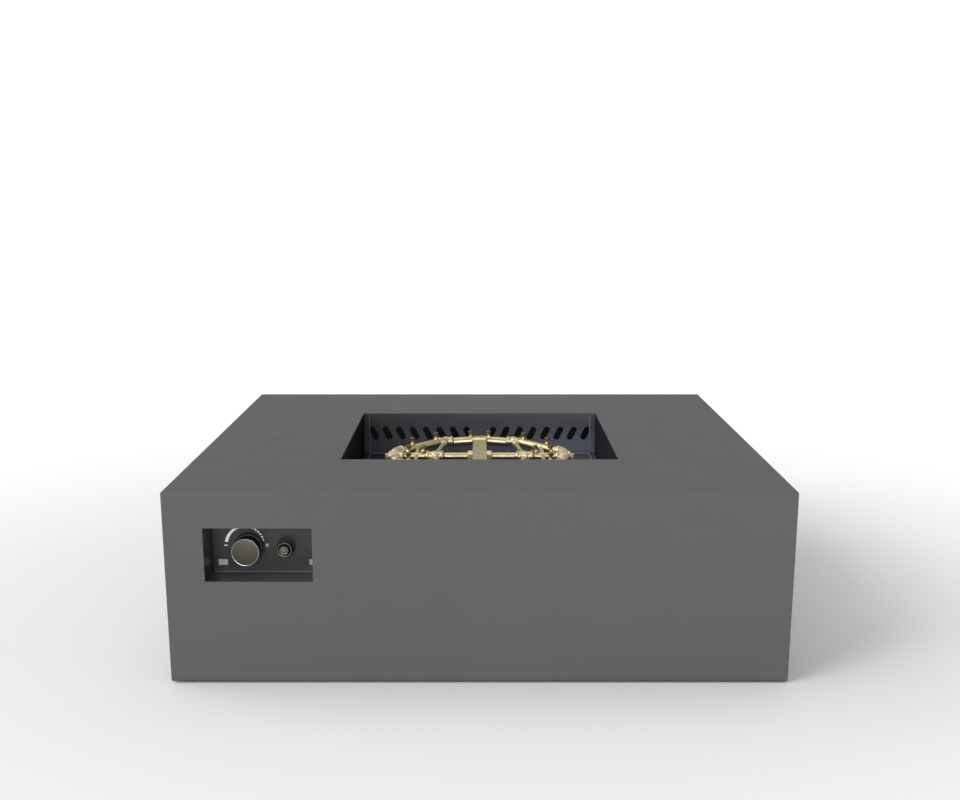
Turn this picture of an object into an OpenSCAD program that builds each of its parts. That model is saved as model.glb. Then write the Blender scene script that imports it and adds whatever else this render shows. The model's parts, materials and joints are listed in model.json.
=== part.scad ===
// Low square gas fire pit table with a recessed burner tray and a brass jet burner.
// The controls sit behind a window in the front face, near its left end.
// Frame: origin at the centre of the footprint on the ground, +X to the right,
// +Y to the rear, +Z up. Millimetres throughout.

/* [Casing] */
// Outside width and depth of the square casing
table_w = 1220; // [1180:10:1300]
// Height of the table top above the ground
table_h = 387; // [380:1:410]
// Thickness of the casing sheet
sheet_t = 3; // [2.5:0.5:3]
// Outside bend radius of the upper and upright edges
edge_r = 3; // [2:0.5:3]
// Outside bend radius of the bottom edge
foot_r = 5; // [3.5:0.5:6]
// Thickness of the rubber pads below the casing
pad_t = 3; // [2:0.5:6]
// Side of the square opening in the top
opening_w = 594; // [560:1:610]

/* [Burner tray] */
// Depth of the tray floor below the table top
tray_depth = 102.5; // [98:0.5:106]
// Thickness of the tray walls
wall_t = 2; // [1.5:0.5:2]
// Thickness of the loose tray floor
floor_t = 2.5; // [2:0.5:3]
// Number of air slots in the front wall and in the rear wall
slot_count = 16; // [12:2:16]
// Distance between neighbouring air slots
slot_pitch = 34.6; // [32:0.2:35]
// Width of an air slot
slot_w = 16; // [12:1:17]
// Length of an air slot over its round ends
slot_len = 36.3; // [32:0.1:38]
// Lean of the air slots away from upright
slot_lean = 27.5; // [0:0.5:30]

/* [Burner] */
// Depth of the burner pipes' centre line below the table top
burner_drop = 53; // [50:1:56]
// Outside diameter of the main burner pipes
pipe_d = 17; // [16:0.5:17.5]
// Outside diameter of the thin arms and links
arm_d = 10; // [8:0.5:11]
// Half length of the burner ring, front to rear
ring_y = 186; // [176:1:200]
// Half length of the ring's straight front and rear sides
ring_flat = 85; // [82:1:88]
// Half width of the burner ring
ring_x = 200; // [192:1:210]
// Height of a jet above the pipe it stands on
jet_h = 18.4; // [16:0.2:20]

/* [Controls] */
// Width of the control window
window_w = 210; // [206:1:216]
// Height of the control window
window_h = 107; // [104:1:112]
// Distance from the left face to the window
window_inset = 77; // [74:1:84]
// Distance from the table top to the window
window_drop = 71; // [68:1:74]
// Depth from the front face to the control panel
recess_depth = 90; // [88:1:94]
// Diameter of the knob's metal cap
knob_d = 56; // [50:1:58]
// Diameter of the knob's skirt
skirt_d = 58; // [56:1:60]
// Diameter of the igniter's metal ring
ring_d = 31; // [28:1:31]
// Diameter of the igniter button
button_d = 20; // [18:0.5:20]

/* [Hidden] */
$fn = 48;
far = 2000;                             // longer than any part, for cuts that run through
cut = 1;                                // run-out of a cut past a face
half = table_w / 2;
inner = half - sheet_t;                 // inside face of the casing walls
top_under = table_h - sheet_t;          // underside of the table top
front = -half;                          // outside face of the front wall
open_half = opening_w / 2;

// frame
tube_w = 25;                            // side of the square frame tube
tube_t = 2;                             // its wall
frame_z = pad_t + sheet_t;              // the frame stands on the casing's bottom return
rail_in = inner - tube_w;               // inner face of the base rails
stiffener_y = 450;                      // distance of the top stiffeners from the centre
pad_l = 60;
pad_w = 15;
pad_y = rail_in + pad_w / 2 + 0.5;      // the pads stand at the inner edge of the return

// vents near the ground in the rear and side walls
vent_count = 12;
vent_pitch = 24;
vent_w = 9;
vent_len = 46;
vent_z = 70;

// tray
floor_z = table_h - tray_depth;         // top of the tray floor
ledge_z = floor_z - floor_t;            // top of the ledge that carries the floor
ledge_w = 15;
flange_w = 25;                          // top flange of the tray walls
floor_gap = 1.5;
beam_z = ledge_z - wall_t - tube_w;     // bottom of the tray beams
beam_y = 200;
bracket_t = 3;
bracket_l = 40;
bracket_h = 35;
slot_z = table_h - 53;                  // middle height of the air slots
stud_r = 2.5;
stud_l = 12;
nut_h = 4;
fit_gap = 0.05;                         // radial clearance of parts that fit together
tray_stud_at = [-240, 0, 240];          // places of the studs along each tray flange

// burner
burner_z = table_h - burner_drop;
pipe_r = pipe_d / 2;
pipe_bore_r = pipe_r - 2.3;
arm_r = arm_d / 2;
arm_bore_r = arm_r - 1.5;
socket_l = 8;                           // depth of a fitting's socket
body_r = pipe_r + 3;                    // round body of a fitting
puck_r = body_r + 1.8;                  // drum in the middle of a fitting
puck_h = 2 * body_r + 1.4;
hex_r = pipe_r + 5.3;                   // hexagonal end of a fitting, across its corners
hex_l = 6;
side_y = 50;                            // where the slanted pipes meet the side pipes
cross_x = 106;                          // place of the two crosses
reach = 20;                             // length of a fitting's arm
corner_reach = 18;
slant_reach = 24;
fork_reach = 34;                        // the corner's thin branch clears its thick one
link_x = 149;
bar_w = 33;                             // manifold bar
bar_h = 18;
tee_w = 32;                             // block where the bar meets the ring
tee_h = 24;
collar_l = 11.5;
jet_thread_r = 3;
slant = [ring_x - ring_flat, side_y - ring_y];              // along a slanted pipe
slant_a = atan2(slant[1], slant[0]);
arm_a = atan2(-ring_y, cross_x - ring_flat);                // along a thin arm
arm_full = norm([cross_x - ring_flat, ring_y]);
jet_x = [22.5, 108, 163];
tilt_jets = [[138, 20], [172, 13]];     // place on the cross pipe and inward tilt
function ring_at(x) = x < ring_flat ? ring_y : ring_y + (x - ring_flat) * slant[1] / slant[0];

// gas train
inlet_r = 10.65;                        // half-inch taper pipe thread, nominal
nipple_top = burner_z - bar_h / 2 - 2.5;
mixer_z = 180;
mixer_top = 262;
nipple_z = mixer_top - 11.5;
mixer_bore_r = 9.5;
hose_d = 16;
lead_d = 4;
tc_lead_d = 3;
tc_d = 6;                               // thermocouple probe
ceramic_d = 7;
pilot_y = -110;
spark_x = -60;
tc_x = -84;
pilot_z = floor_z - 9.5;                // underside of the pilot parts
bracket_x = -550 + (610 - half);        // the gas inlet's place beside the left wall
inlet_plate_z = 75;
inlet_neck_r = inlet_r - 0.6;           // neck behind the free thread
inlet_thread_l = 21;
inlet_nut_h = 8;

// controls
win_l = front + window_inset;           // left edge of the window (the casing is square)
win_r = win_l + window_w;
win_top = table_h - window_drop;
win_low = win_top - window_h;
recess_low = win_low - 6;
recess_top = win_top + 20;
panel_y = front + recess_depth;         // front face of the control panel
panel_t = 2;
box_t = 2;
box_back = 20;                          // width of the box's rear flange
box_lip = 15;                           // width of the box's front flange
knob_x = win_l + 73;
knob_z = table_h - 131;
ign_x = win_l + 147;
screw_x = [win_l + 98, win_l + 161];
screw_z = [recess_low + 10, recess_top - 10];
knob_reach = 47.5;                      // cap face in front of the panel
cap_t = 2.5;
knob_lift = 5;                          // skirt stands this far off the panel at rest
skirt_h = 5;
grip_r = 24.5;
rib_count = 40;
rib_h = 1.4;
hub_depth = 16;                         // recess in the back of the knob, over the nut
stem_r = 4;
neck_r = 8.8;
valve_w = 36;
valve_y = panel_y + 26;                 // front of the valve's block
valve_l = 42;
boss_r = 9;
boss_l = 12;
inlet_boss_y = valve_y + 21;            // the supply enters the valve's left side here
tc_boss_y = valve_y + 30;               // the thermocouple enters it from below
tc_boss_l = 8;
washer_y = panel_y + 6.1;
washer_t = 1.5;
spring_wire = 0.7;
ign_ring_l = 26;
ign_base_r = 18;
ign_base_t = 4;
barrel_r = 13.5;
barrel_l = 62;
button_proud = 5;
button_l = 20;
battery_l = 49;
battery_r = 7.2;
dial_x = knob_x - 7.5;
dial_z = knob_z + 3.3;
dial_r = 37.7;
print_t = 0.3;
arc_thick = 6.5;
arc_thin = 1.6;
hose_turn = [1, -1, 0];                 // never along the burner hose or the leads
supply_turn = [1, 1, 0];                // never along the supply hose

// Routes of the hoses and leads, from end to end
burner_route = [[knob_x, valve_y + valve_l + boss_l, knob_z], [knob_x, -425, knob_z],
    [knob_x, -405, knob_z], [-448, -352, 242], [-418, -292, 212],
    [-362, -228, 178], [-285, -162, 148], [-198, -100, 122], [-110, -48, 104],
    [-48, -16, 102], [-12, 0, 118], [0, 0, 145], [0, 0, 163], [0, 0, mixer_z]];
supply_route = [[bracket_x, 0, inlet_plate_z + 30], [bracket_x, 0, 118], [bracket_x, 0, 132],
    [bracket_x, -25, 174], [bracket_x, -90, 206], [bracket_x, -180, 224], [bracket_x, -280, 238],
    [bracket_x, -370, 250], [bracket_x + 2, -425, knob_z - 1], [bracket_x + 12, -460, knob_z],
    [bracket_x + 32, inlet_boss_y, knob_z], [bracket_x + 46, inlet_boss_y, knob_z],
    [knob_x - valve_w / 2 - boss_l, inlet_boss_y, knob_z]];
spark_route = [[ign_x, panel_y + barrel_l + 6, knob_z], [ign_x, -440, knob_z], [ign_x, -425, knob_z],
    [-375, -395, 246], [-325, -345, 240], [-240, -262, 236], [-150, -180, 234],
    [-85, -128, 232], [spark_x - 3, pilot_y - 3, 240], [spark_x, pilot_y, 256],
    [spark_x, pilot_y, 266], [spark_x, pilot_y, pilot_z]];
tc_route = [[knob_x, tc_boss_y, knob_z - valve_w / 2 - tc_boss_l], [knob_x, tc_boss_y, 222],
    [knob_x, tc_boss_y, 214], [-446, -452, 204], [-400, -405, 202], [-320, -330, 202],
    [-220, -235, 204], [-130, -150, 208], [tc_x - 3, pilot_y - 3, 228], [tc_x, pilot_y, 248],
    [tc_x, pilot_y, 262], [tc_x, pilot_y, pilot_z]];

function unit(v) = v / norm(v);
function curve(a, b, c, d, t) = 0.5 * (2 * b + (c - a) * t
    + (2 * a - 5 * b + 4 * c - d) * t * t + (3 * b - a - 3 * c + d) * t * t * t);
// Smooth curve through the points p, in steps between each pair
function smooth(p, steps) = [
    for (i = [0 : len(p) - 2], k = [0 : steps - 1])
        curve(p[max(i - 1, 0)], p[i], p[i + 1], p[min(i + 2, len(p) - 1)], k / steps),
    p[len(p) - 1]];

// Round tube of radius r along a path; turn is a direction that the path never takes
module sweep(path, r, turn, sides = 10) {
    n = len(path);
    points = [for (i = [0 : n - 1])
        let (t = unit(path[min(i + 1, n - 1)] - path[max(i - 1, 0)]),
            u = unit(cross(t, turn)), v = cross(u, t))
        for (k = [0 : sides - 1]) path[i] + r * (cos(360 * k / sides) * u + sin(360 * k / sides) * v)];
    faces = concat([[for (k = [sides - 1 : -1 : 0]) k]],
        [[for (k = [0 : sides - 1]) (n - 1) * sides + k]],
        [for (i = [0 : n - 2], k = [0 : sides - 1], up = [0, 1])
            let (a = i * sides + k, b = i * sides + (k + 1) % sides)
            up == 0 ? [a, b, b + sides] : [a, b + sides, a + sides]]);
    polyhedron(points, faces);
}

// Coil spring along +Y, from the origin
module spring(r, length, turns) {
    steps = 14;
    n = turns * steps;
    path = [for (i = [0 : n]) [r * cos(360 * i / steps),
        spring_wire + (length - 2 * spring_wire) * i / n, r * sin(360 * i / steps)]];
    sweep(path, spring_wire, [0, 1, 0], 6);
}

// Upright profile, r_low round at the bottom corners and r_high at the top ones
module profile(w, h, r_low, r_high) {
    difference() {
        translate([-w / 2, 0]) square([w, h]);
        for (s = [-1, 1]) {
            round_off([s * w / 2, 0], r_low, -s, 1);
            round_off([s * w / 2, h], r_high, -s, -1);
        }
    }
}

// What is taken from the corner at p to round it, inwards along sx and sy
module round_off(p, r, sx, sy) {
    difference() {
        translate([p[0] + sx * r / 2 - sx * cut / 2, p[1] + sy * r / 2 - sy * cut / 2])
            square([r + cut, r + cut], center = true);
        translate([p[0] + sx * r, p[1] + sy * r]) circle(r);
        translate([p[0] + sx * (r + far / 2), p[1]]) square([far, far], center = true);
    }
}

module block(x0, x1, y0, y1, z0, z1) {
    translate([x0, y0, z0]) cube([x1 - x0, y1 - y0, z1 - z0]);
}

// Cylinders along +X, +Y and -Z that start at p
module rod_x(p, r, h) { translate(p) rotate([0, 90, 0]) cylinder(r = r, h = h); }
module rod_y(p, r, h) { translate(p) rotate([-90, 0, 0]) cylinder(r = r, h = h); }
module hex_x(p, r, h) { translate(p) rotate([0, 90, 0]) cylinder(r = r, h = h, $fn = 6); }
module hex_y(p, r, h) { translate(p) rotate([-90, 0, 0]) cylinder(r = r, h = h, $fn = 6); }

// Both, or all four, mirror images of the children
module both_x() { for (s = [0, 1]) mirror([s, 0, 0]) children(); }
module both_y() { for (s = [0, 1]) mirror([0, s, 0]) children(); }
module four() { both_x() both_y() children(); }

// Square tube along X from x0 to x1, its lower front corner at y, z
module tube_x(x0, x1, y, z) {
    difference() {
        block(x0, x1, y, y + tube_w, z, z + tube_w);
        block(x0 - cut, x1 + cut, y + tube_t, y + tube_w - tube_t, z + tube_t, z + tube_w - tube_t);
    }
}

// Flat slot outline with round ends, upright at the origin
module slot_outline(w, length) {
    union() {
        square([w, length - w], center = true);
        for (s = [-1, 1]) translate([0, s * (length - w) / 2]) circle(w / 2);
    }
}

// ---- casing and frame ----

module casing_form() {
    intersection() {
        translate([0, half, pad_t]) rotate([90, 0, 0]) linear_extrude(table_w)
            profile(table_w, table_h - pad_t, foot_r, edge_r);
        translate([-half, 0, pad_t]) rotate([90, 0, 90]) linear_extrude(table_w)
            profile(table_w, table_h - pad_t, foot_r, edge_r);
        translate([0, -half, 0]) linear_extrude(table_h)
            profile(table_w, table_w, edge_r, edge_r);
    }
}

// Row of upright slots through a wall that faces -Y
module vents() {
    for (i = [0 : vent_count - 1])
        translate([(i - (vent_count - 1) / 2) * vent_pitch, half + cut, vent_z])
            rotate([90, 0, 0]) linear_extrude(sheet_t + 2 * cut) slot_outline(vent_w, vent_len);
}

module outer_shell() {
    color("dimgray") difference() {
        casing_form();
        block(-inner, inner, -inner, inner, frame_z, top_under);
        block(-rail_in, rail_in, -rail_in, rail_in, 0, frame_z + cut);
        block(-open_half, open_half, -open_half, open_half, top_under - cut, table_h + cut);
        block(win_l, win_r, front - cut, front + sheet_t + cut, win_low, win_top);
        for (a = [-90, 0, 90]) rotate([0, 0, a]) vents();
    }
}

module base_rails_long() {
    color("dimgray") for (y = [-inner, rail_in]) tube_x(-inner, inner, y, frame_z);
}

module base_rails_short() {
    color("dimgray") rotate([0, 0, 90])
        for (y = [-inner, rail_in]) tube_x(-rail_in, rail_in, y, frame_z);
}

module corner_posts() {
    post_z = frame_z + tube_w;
    color("dimgray") four() difference() {
        block(rail_in, inner, rail_in, inner, post_z, top_under);
        block(rail_in + tube_t, inner - tube_t, rail_in + tube_t, inner - tube_t,
            post_z - cut, top_under + cut);
    }
}

module top_stiffeners() {
    color("dimgray") for (y = [-stiffener_y, stiffener_y])
        tube_x(-inner, inner, y - tube_w / 2, top_under - tube_w);
}

module tray_beams() {
    color("dimgray") for (y = [-beam_y, beam_y]) tube_x(-inner, inner, y - tube_w / 2, beam_z);
}

module beam_brackets() {
    color("dimgray") four() union() {
        block(inner - bracket_t, inner, beam_y - tube_w / 2, beam_y + tube_w / 2,
            beam_z - bracket_h, beam_z);
        block(inner - bracket_l, inner - bracket_t, beam_y - tube_w / 2, beam_y + tube_w / 2,
            beam_z - bracket_t, beam_z);
    }
}

module foot_pads() {
    color("black") {
        for (x = [-1, 0, 1], s = [-1, 1])
            translate([x * (rail_in - pad_l), s * pad_y, pad_t / 2])
                cube([pad_l, pad_w, pad_t], center = true);
        for (s = [-1, 1]) translate([s * pad_y, 0, pad_t / 2])
            cube([pad_w, pad_l, pad_t], center = true);
    }
}

// ---- burner tray ----

// One tray wall at the rear, between -w and w, with its ledge between -ledge and ledge
module tray_wall(w, ledge) {
    difference() {
        union() {
            block(-w, w, open_half, open_half + wall_t, ledge_z - wall_t, top_under);
            block(-w, w, open_half + wall_t, open_half + flange_w,
                top_under - wall_t, top_under);
            block(-ledge, ledge, open_half - ledge_w, open_half, ledge_z - wall_t, ledge_z);
        }
        for (x = tray_stud_at) translate([x, tray_stud_y(), top_under - wall_t - cut])
            cylinder(r = stud_r + 0.2, h = wall_t + 2 * cut);
    }
}

function tray_stud_y() = open_half + wall_t + (flange_w - wall_t) / 2;

module air_slots() {
    for (i = [0 : slot_count / 2 - 1], s = [-1, 1])
        translate([s * (slot_pitch * i + 29.7), open_half + wall_t + cut, slot_z])
            rotate([90, 0, 0]) rotate([0, 0, -s * slot_lean])
                linear_extrude(wall_t + 2 * cut) slot_outline(slot_w, slot_len);
}

module slotted_wall() {
    difference() {
        tray_wall(open_half + wall_t, open_half);
        air_slots();
    }
}

module tray_wall_rear() { color("darkslategray") slotted_wall(); }
module tray_wall_front() { color("darkslategray") rotate([0, 0, 180]) slotted_wall(); }

module tray_wall_left() {
    color("darkslategray") rotate([0, 0, 90]) tray_wall(open_half, open_half - ledge_w);
}

module tray_wall_right() {
    color("darkslategray") rotate([0, 0, -90]) tray_wall(open_half, open_half - ledge_w);
}

module tray_floor() {
    drain_at = open_half - 40;
    edge = open_half - floor_gap;
    color("slategray") difference() {
        block(-edge, edge, -edge, edge, ledge_z, floor_z);
        translate([0, 0, ledge_z - cut]) {
            cylinder(r = inlet_r + 0.85, h = floor_t + 2 * cut);
            four() translate([drain_at, drain_at, 0]) cylinder(r = 5, h = floor_t + 2 * cut);
            translate([spark_x, pilot_y, 0]) cylinder(r = ceramic_d / 2 + 1, h = floor_t + 2 * cut);
            translate([tc_x, pilot_y, 0]) cylinder(r = tc_d / 2 + 1, h = floor_t + 2 * cut);
        }
    }
}

// Places of the four studs that hold the control box
function box_stud_at() = [for (x = [win_l + 30, win_r - 30],
    z = [recess_low - box_t - box_lip / 2, recess_top + box_t + box_lip / 2]) [x, z]];

module casing_studs() {
    color("silver") {
        for (a = [0 : 90 : 270], x = tray_stud_at) rotate([0, 0, a])
            translate([x, tray_stud_y(), top_under - stud_l]) cylinder(r = stud_r, h = stud_l);
        for (p = box_stud_at()) rod_y([p[0], front + sheet_t, p[1]], stud_r, stud_l);
    }
}

module casing_nuts() {
    nut_r = 2 * stud_r;
    color("silver") {
        for (a = [0 : 90 : 270], x = tray_stud_at) rotate([0, 0, a])
            translate([x, tray_stud_y(), top_under - wall_t - nut_h]) difference() {
                cylinder(r = nut_r, h = nut_h, $fn = 6);
                translate([0, 0, -cut]) cylinder(r = stud_r + fit_gap, h = nut_h + 2 * cut);
            }
        for (p = box_stud_at()) difference() {
            hex_y([p[0], front + sheet_t + box_t, p[1]], nut_r, nut_h);
            rod_y([p[0], front + sheet_t, p[1]], stud_r + fit_gap, nut_h + box_t + cut);
        }
    }
}

// ---- burner ----

// Pipe in the burner's plane from p, along the angle a, from distance d0 to d1
module pipe(p, a, d0, d1, r, bore_r) {
    translate([p[0], p[1], burner_z]) rotate([0, 0, a]) difference() {
        rod_x([d0, 0, 0], r, d1 - d0);
        rod_x([d0 - cut, 0, 0], bore_r, d1 - d0 + 2 * cut);
    }
}

// Hole for a jet's thread in the top of a pipe
module jet_hole(p) {
    translate([p[0], p[1], burner_z]) cylinder(r = jet_thread_r + fit_gap, h = pipe_r + cut);
}

// Forged middle of a fitting: a low drum with bevelled rims
module puck() {
    rim = 1.6;
    translate([0, 0, -puck_h / 2]) cylinder(r1 = puck_r - rim, r2 = puck_r, h = rim);
    translate([0, 0, rim - puck_h / 2]) cylinder(r = puck_r, h = puck_h - 2 * rim);
    translate([0, 0, puck_h / 2 - rim]) cylinder(r1 = puck_r, r2 = puck_r - rim, h = rim);
}

// Room in the middle of a fitting, where its bores meet
module chamber() {
    cylinder(r = pipe_r - 0.7, h = 2 * pipe_bore_r + 1.8, center = true);
}

// Fitting with a drum in the middle; each arm is [angle, reach, pipe radius, hexagon or not]
module fitting(arms) {
    difference() {
        union() {
            puck();
            for (a = arms) rotate([0, 0, a[0]]) {
                rod_x([0, 0, 0], a[2] + 2.7, a[1]);
                if (a[3]) hex_x([a[1] - hex_l, 0, 0], a[2] + 5.3, hex_l);
                else rod_x([a[1] - hex_l, 0, 0], a[2] + 4, hex_l);
            }
        }
        chamber();
        for (a = arms) rotate([0, 0, a[0]]) {
            rod_x([0, 0, 0], a[2] - 2, a[1] + cut);
            rod_x([a[1] - socket_l, 0, 0], a[2] + fit_gap, socket_l + cut);
        }
    }
}

module burner_manifold() {
    boss_h = 14;
    low = burner_z - bar_h / 2;
    bar_y = ring_y - tee_w / 2;
    color("goldenrod") difference() {
        union() {
            block(-bar_w / 2, bar_w / 2, -bar_y, bar_y, low, low + bar_h);
            translate([0, 0, low - boss_h]) cylinder(r = 15.2, h = boss_h);
        }
        rod_y([0, -bar_y - cut, burner_z], pipe_bore_r, 2 * bar_y + 2 * cut);
        rod_x([-bar_w / 2 - cut, 0, burner_z], pipe_bore_r, bar_w + 2 * cut);
        translate([0, 0, low - boss_h - cut]) {
            cylinder(r = inlet_r + fit_gap, h = boss_h - 2 + cut);
            cylinder(r = inlet_r - 3, h = boss_h + bar_h / 2);
        }
    }
}

module burner_collars() {
    color("gold") both_x() difference() {
        hex_x([bar_w / 2, 0, burner_z], hex_r - 0.8, collar_l);
        rod_x([bar_w / 2 - cut, 0, burner_z], pipe_r + fit_gap, collar_l + 2 * cut);
    }
}

module burner_cross_pipes() {
    color("goldenrod") both_x() {
        pipe([0, 0], 0, bar_w / 2 + 1, cross_x - reach + socket_l, pipe_r, pipe_bore_r);
        difference() {
            pipe([0, 0], 0, cross_x + reach - socket_l, ring_x - reach + socket_l,
                pipe_r, pipe_bore_r);
            for (j = tilt_jets) translate([j[0], 0, burner_z]) rotate([0, -j[1], 0])
                cylinder(r = jet_thread_r + fit_gap, h = pipe_r + 2 * cut);
        }
    }
}

module burner_crosses() {
    color("gold") both_x() translate([cross_x, 0, burner_z]) fitting([
        [0, reach, pipe_r, true], [180, reach, pipe_r, true],
        [180 + arm_a, reach + 2, arm_r, true], [180 - arm_a, reach + 2, arm_r, true]]);
}

// Straight and slanted pipes of the ring
module burner_ring_pipes() {
    color("goldenrod") four() {
        difference() {
            pipe([0, ring_y], 0, tee_w / 2 - socket_l, ring_flat - corner_reach + socket_l,
                pipe_r, pipe_bore_r);
            jet_hole([jet_x[0], ring_y]);
        }
        difference() {
            pipe([ring_flat, ring_y], slant_a, slant_reach - socket_l,
                norm(slant) - reach + socket_l, pipe_r, pipe_bore_r);
            for (x = [jet_x[1], jet_x[2]]) jet_hole([x, ring_at(x)]);
        }
    }
}

module burner_side_pipes() {
    color("goldenrod") four()
        pipe([ring_x, 0], 90, reach - socket_l, side_y - reach + socket_l, pipe_r, pipe_bore_r);
}

// Thin arms from the crosses to the ring's corners
module burner_arms() {
    color("gold") four() pipe([ring_flat, ring_y], arm_a, fork_reach - socket_l,
        arm_full - reach - 2 + socket_l, arm_r, arm_bore_r);
}

// Forked corner of the ring: two thick branches and a thin one for the arm
module burner_corners() {
    thick = [[180, corner_reach], [slant_a, slant_reach]];
    color("gold") four() translate([ring_flat, ring_y, burner_z]) difference() {
        union() {
            puck();
            for (b = thick) rotate([0, 0, b[0]]) {
                rod_x([0, 0, 0], body_r, b[1]);
                rod_x([b[1] - hex_l, 0, 0], body_r + 1.5, hex_l);
            }
            rotate([0, 0, arm_a]) rod_x([0, 0, 0], arm_r + 1.7, fork_reach);
        }
        chamber();
        for (b = thick) rotate([0, 0, b[0]]) {
            rod_x([0, 0, 0], pipe_bore_r, b[1] + cut);
            rod_x([b[1] - socket_l, 0, 0], pipe_r + fit_gap, socket_l + cut);
        }
        rotate([0, 0, arm_a]) {
            rod_x([0, 0, 0], arm_bore_r - 0.3, fork_reach + cut);
            rod_x([fork_reach - socket_l, 0, 0], arm_r + fit_gap, socket_l + cut);
        }
    }
}

module burner_elbows() {
    color("gold") four() translate([ring_x, side_y, burner_z]) fitting([
        [-90, reach, pipe_r, false], [180 + slant_a, reach, pipe_r, false]]);
}

module burner_end_tees() {
    color("gold") both_x() translate([ring_x, 0, burner_z]) fitting([
        [180, reach, pipe_r, true], [90, reach, pipe_r, false], [-90, reach, pipe_r, false],
        [0, reach - 6, pipe_r, false]]);
}

module burner_plugs() {
    color("rosybrown") both_x() union() {
        rod_x([ring_x + reach - 6 - socket_l + 0.5, 0, burner_z], pipe_r, socket_l - 0.5);
        hex_x([ring_x + reach - 6, 0, burner_z], pipe_r, 9);
    }
}

// Thin links from the cross pipe to the slanted pipes, cut to sit on both
module burner_links() {
    color("gold") four() difference() {
        pipe([link_x, 0], 90, 0, ring_at(link_x), arm_r, arm_bore_r);
        rod_x([0, 0, burner_z], pipe_r + fit_gap, ring_x);
        translate([ring_flat, ring_y, burner_z]) rotate([0, 0, slant_a])
            rod_x([0, 0, 0], pipe_r + fit_gap, norm(slant));
    }
}

module burner_ring_tees() {
    color("darkkhaki") both_y() difference() {
        block(-tee_w / 2, tee_w / 2, ring_y - tee_w / 2, ring_y + tee_w / 2 - 2,
            burner_z - tee_h / 2, burner_z + tee_h / 2);
        rod_x([-tee_w, ring_y, burner_z], pipe_bore_r, 2 * tee_w);
        both_x() rod_x([tee_w / 2 - socket_l, ring_y, burner_z], pipe_r + fit_gap, tee_w);
        rod_y([0, ring_y - tee_w, burner_z], pipe_bore_r, tee_w);
    }
}

// Outside of a jet above its hexagon, which stands at the origin and reaches down by foot
module jet_form(foot) {
    hex_h = 4.4;
    head_r = 6.5;
    head_h = 7.5;
    translate([0, 0, -foot]) cylinder(r = 6, h = hex_h + foot, $fn = 6);
    cylinder(r = 4.2, h = jet_h - cut);
    translate([0, 0, jet_h - head_h]) cylinder(r1 = head_r - 1.5, r2 = head_r, h = 2);
    translate([0, 0, jet_h - head_h + 2]) cylinder(r = head_r, h = head_h - 4);
    translate([0, 0, jet_h - 2]) cylinder(r1 = head_r, r2 = head_r - 1.6, h = 2);
}

module jet_bore() {
    translate([0, 0, -4]) cylinder(r = 1.4, h = jet_h + 5);
    translate([0, 0, jet_h - 1.5]) cylinder(r = 3.2, h = 2.5);
}

module burner_jets() {
    color("darkgoldenrod") four() for (x = jet_x)
        translate([x, ring_at(x), burner_z + pipe_r + 0.1]) difference() {
            union() {
                translate([0, 0, -2]) cylinder(r = jet_thread_r, h = 3);
                jet_form(0);
            }
            jet_bore();
        }
}

// Jets that lean inwards, their hexagons cut to sit on the pipe
module tilted_jets() {
    stand = pipe_r + 0.6;
    color("darkgoldenrod") both_x() for (j = tilt_jets)
        translate([j[0], 0, burner_z]) rotate([0, -j[1], 0]) difference() {
            union() {
                difference() {
                    translate([0, 0, stand]) jet_form(3.6);
                    rotate([0, j[1], 0]) rod_x([-tee_w, 0, 0], pipe_r + fit_gap, 2 * tee_w);
                }
                translate([0, 0, stand - 3.6]) cylinder(r = jet_thread_r, h = 4.6);
            }
            translate([0, 0, stand]) jet_bore();
        }
}

module burner_supports() {
    leg_x = ring_x - 10;
    leg_t = 3;
    foot_l = 25;
    w = 22;
    color("silver") both_x() union() {
        block(leg_x, leg_x + leg_t, -w, w, floor_z, burner_z - puck_h / 2 - fit_gap);
        block(leg_x + leg_t, leg_x + leg_t + foot_l, -w, w, floor_z, floor_z + leg_t);
    }
}

// ---- gas train ----

module inlet_nipple() {
    color("silver") translate([0, 0, nipple_z]) difference() {
        cylinder(r = inlet_r, h = nipple_top - nipple_z);
        translate([0, 0, -cut]) cylinder(r = inlet_r - 2.8, h = nipple_top - nipple_z + 2 * cut);
    }
}

module ring_nut(z, h, r, bore_r) {
    translate([0, 0, z]) difference() {
        cylinder(r = r, h = h, $fn = 6);
        translate([0, 0, -cut]) cylinder(r = bore_r, h = h + 2 * cut);
    }
}

module burner_locknuts() {
    color("silver") {
        ring_nut(floor_z, 7, 17, inlet_r + fit_gap);
        ring_nut(ledge_z - 7, 7, 17, inlet_r + fit_gap);
    }
}

module air_mixer() {
    color("goldenrod") difference() {
        union() {
            translate([0, 0, mixer_z]) cylinder(r = 7, h = 10);
            translate([0, 0, mixer_z + 10]) cylinder(r = 14, h = 14, $fn = 6);
            translate([0, 0, mixer_z + 24]) cylinder(r = 13, h = mixer_top - mixer_z - 36);
            translate([0, 0, mixer_top - 12]) cylinder(r = 17, h = 12, $fn = 6);
        }
        translate([0, 0, mixer_z - cut]) cylinder(r = 2, h = 26);
        translate([0, 0, mixer_z + 24]) cylinder(r = mixer_bore_r, h = mixer_top);
        translate([0, 0, mixer_top - 11.5]) cylinder(r = inlet_r + fit_gap, h = 12);
        for (a = [0, 90]) rotate([0, 0, a]) translate([0, 0, mixer_z + 42])
            cube([8, 40, 20], center = true);
    }
}

module burner_hose() { color("gainsboro") sweep(smooth(burner_route, 6), hose_d / 2, hose_turn, 12); }
module supply_hose() { color("gainsboro") sweep(smooth(supply_route, 6), hose_d / 2, supply_turn, 12); }

module pilot_leads() {
    color("firebrick") sweep(smooth(spark_route, 6), lead_d / 2, hose_turn, 8);
    color("peru") sweep(smooth(tc_route, 6), tc_lead_d / 2, hose_turn, 8);
}

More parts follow.
